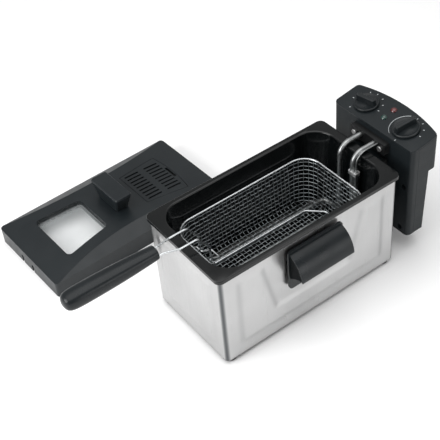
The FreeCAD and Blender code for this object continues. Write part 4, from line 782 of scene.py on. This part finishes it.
def make_knob(node, joint):
    place = panel_frame(joints[joint])
    turn = bar_turn(node, place)
    radius = max(math.hypot(spot.x, spot.y) for spot in
                 (place.inverted() @ vertex.co for vertex in nodes[node].data.vertices))
    verts = []
    for share, up in KNOB_PROFILE:
        for k in range(KNOB_SIDES):
            around = 2 * math.pi * k / KNOB_SIDES
            reach = radius * share
            verts.append((reach * math.cos(around), reach * math.sin(around), KNOB_GAP + up * MM))
    faces = ring_faces(len(KNOB_PROFILE), KNOB_SIDES)
    first = len(verts)
    base = rounded_plan(radius * KNOB_BAR_REACH, -KNOB_BAR / 2, KNOB_BAR / 2, KNOB_BAR * KNOB_BAR_ROUNDING)
    for up, shrink in ((KNOB_GAP + KNOB_BAR_FOOT, 1.0), (KNOB_BAR_TOP, KNOB_BAR_TAPER)):
        for x, y in base:
            bar = Vector((x * (1 + shrink) / 2, y * shrink, up))
            verts.append(Matrix.Rotation(turn, 3, "Z") @ bar)
    faces += [tuple(first + k for k in face) for face in ring_faces(2, len(base))]
    verts = [place @ Vector(spot) for spot in verts]
    piece = mesh_piece(node + "_moulding", verts, faces, KNOB_PLASTIC, node)
    soften_edges(piece, KNOB_EDGE, MOULDING_EDGE_DEGREES)
    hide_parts(node)


# Panel printing: scale marks round the knobs, their angles in degrees
INK_HEIGHT = 0.08 * MM
TICK_LENGTH = 2.6 * MM
TICK_WIDTH = 0.7 * MM
TICK_STEPS = 2
TIMER_RING = 23.5 * MM
TIMER_MARKS = (98, 33, 5, -27, -58, -88, 146)
THERMOSTAT_RING = 24.5 * MM
THERMOSTAT_MARKS = (-170, 5, -24, -54, -84)
ARC_DEGREES = (29, 150)
ARC_INNER = (25.2 * MM, 22.6 * MM)
ARC_OUTER = (26.6 * MM, 23.2 * MM)
ARC_STEPS = 40


def strip(verts, faces, place, inner, outer, degrees, steps):
    """A printed sector of a little thickness, its angle and radii given as first and last values."""
    first = len(verts)
    for i in range(steps + 1):
        turn, *radii = (begin + (finish - begin) * i / steps for begin, finish in (degrees, inner, outer))
        turn = math.radians(turn)
        for radius in radii:
            for height in (0.0, INK_HEIGHT):
                verts.append(place @ Vector((math.cos(turn) * radius, math.sin(turn) * radius, height)))
    for i in range(steps):
        a = first + i * 4
        b = a + 4
        faces += [(a + 1, a + 3, b + 3, b + 1), (a, b, b + 2, a + 2), (a, a + 1, b + 1, b),
                  (a + 2, b + 2, b + 3, a + 3)]
    last = first + steps * 4
    faces += [(first, first + 2, first + 3, first + 1), (last, last + 1, last + 3, last + 2)]


def make_scales():
    verts = []
    faces = []
    timer = panel_frame(joints["timer_turn"])
    thermostat = panel_frame(joints["thermostat_turn"])
    scales = ((timer, TIMER_RING, TIMER_MARKS), (thermostat, THERMOSTAT_RING, THERMOSTAT_MARKS))
    for place, radius, marks in scales:
        inner = (radius - TICK_LENGTH / 2,) * 2
        outer = (radius + TICK_LENGTH / 2,) * 2
        wide = math.degrees(TICK_WIDTH / radius)
        for angle in marks:
            strip(verts, faces, place, inner, outer, (angle - wide, angle + wide), TICK_STEPS)
    strip(verts, faces, thermostat, ARC_INNER, ARC_OUTER, ARC_DEGREES, ARC_STEPS)
    mesh_piece("panel_scales", verts, faces, INK, "control_unit")


# Studio and camera, fitted to the photo
CAMERA = {"azimuth": -32.82, "elevation": 43.06, "roll": -5.77, "focal_px": 1005.4, "frame_px": 440,
          "shift_right": 83.0 * MM, "shift_up": -81.0 * MM, "distance": 1443.1 * MM,
          "target_height": 7.0 * MM, "sensor_mm": 36, "clip": (0.05, 50)}
# Name, place, spot that it faces, width and height in metres, watts.
LIGHTS = (("top_softbox", (-0.1, 0.0, 1.9), (-0.1, 0.0, 0.0), (2.4, 2.4), 30),
          ("front_softbox", (0.7, -1.7, 0.5), (0.0, -0.1, 0.1), (1.2, 0.8), 6),
          ("left_softbox", (-1.7, 0.2, 0.9), (-0.2, 0.1, 0.0), (1.2, 1.2), 26))
SKY_STRENGTH = 0.45
FLOOR_HALF = 6.0
FLOOR_SEGMENTS = 8
FLOOR_DROP = 0.2 * MM


def make_camera():
    azimuth = math.radians(CAMERA["azimuth"])
    elevation = math.radians(CAMERA["elevation"])
    roll = math.radians(CAMERA["roll"])
    back = Vector((math.sin(azimuth) * math.cos(elevation), -math.cos(azimuth) * math.cos(elevation),
                   math.sin(elevation)))
    right = Vector((math.cos(azimuth), math.sin(azimuth), 0))
    up = back.cross(right)
    right, up = right * math.cos(roll) + up * math.sin(roll), up * math.cos(roll) - right * math.sin(roll)
    data = bpy.data.cameras.new("camera")
    data.sensor_width = CAMERA["sensor_mm"]
    data.lens = CAMERA["focal_px"] / CAMERA["frame_px"] * data.sensor_width
    data.clip_start, data.clip_end = CAMERA["clip"]
    camera = bpy.data.objects.new("camera", data)
    bpy.context.scene.collection.objects.link(camera)
    place = back * CAMERA["distance"] - right * CAMERA["shift_right"] - up * CAMERA["shift_up"]
    place += Vector((0, 0, CAMERA["target_height"]))
    camera.matrix_world = Matrix.Translation(place) @ Matrix((right, up, back)).transposed().to_4x4()
    bpy.context.scene.camera = camera


def area_light(name, spot, target, size, power):
    data = bpy.data.lights.new(name, "AREA")
    data.shape = "RECTANGLE"
    data.size, data.size_y = size
    data.energy = power
    light = bpy.data.objects.new(name, data)
    light.location = spot
    light.rotation_euler = (Vector(target) - Vector(spot)).to_track_quat("-Z", "Y").to_euler()
    bpy.context.scene.collection.objects.link(light)


def make_studio():
    mesh = bpy.data.meshes.new("studio_floor")
    work = bmesh.new()
    bmesh.ops.create_grid(work, x_segments=FLOOR_SEGMENTS, y_segments=FLOOR_SEGMENTS, size=FLOOR_HALF)
    work.to_mesh(mesh)
    work.free()
    floor = bpy.data.objects.new("studio_floor", mesh)
    floor.location.z = -FLOOR_DROP
    bpy.context.scene.collection.objects.link(floor)
    made = Shading("studio_paper", specular=0.1)
    made.colour(made.noise(4, 2), (0.93, 0.93, 0.93), (0.95, 0.95, 0.95))
    made.rough(made.noise(20, 2), 0.8, 0.9)
    mesh.materials.append(made.material)
    world = bpy.data.worlds.new("studio")
    world.use_nodes = True
    sky = world.node_tree.nodes["Background"]
    sky.inputs["Color"].default_value = (1, 1, 1, 1)
    sky.inputs["Strength"].default_value = SKY_STRENGTH
    bpy.context.scene.world = world
    bpy.context.scene.view_settings.view_transform = "Standard"
    for light in LIGHTS:
        area_light(*light)


dress_cad()
make_casing_sheet()
make_side_handle("side_handle_front", -1)
make_side_handle("side_handle_back", 1)
make_basket_mesh()
make_grip()
make_knob("timer_knob", "timer_turn")
make_knob("thermostat_knob", "thermostat_turn")
make_scales()
make_studio()
make_camera()
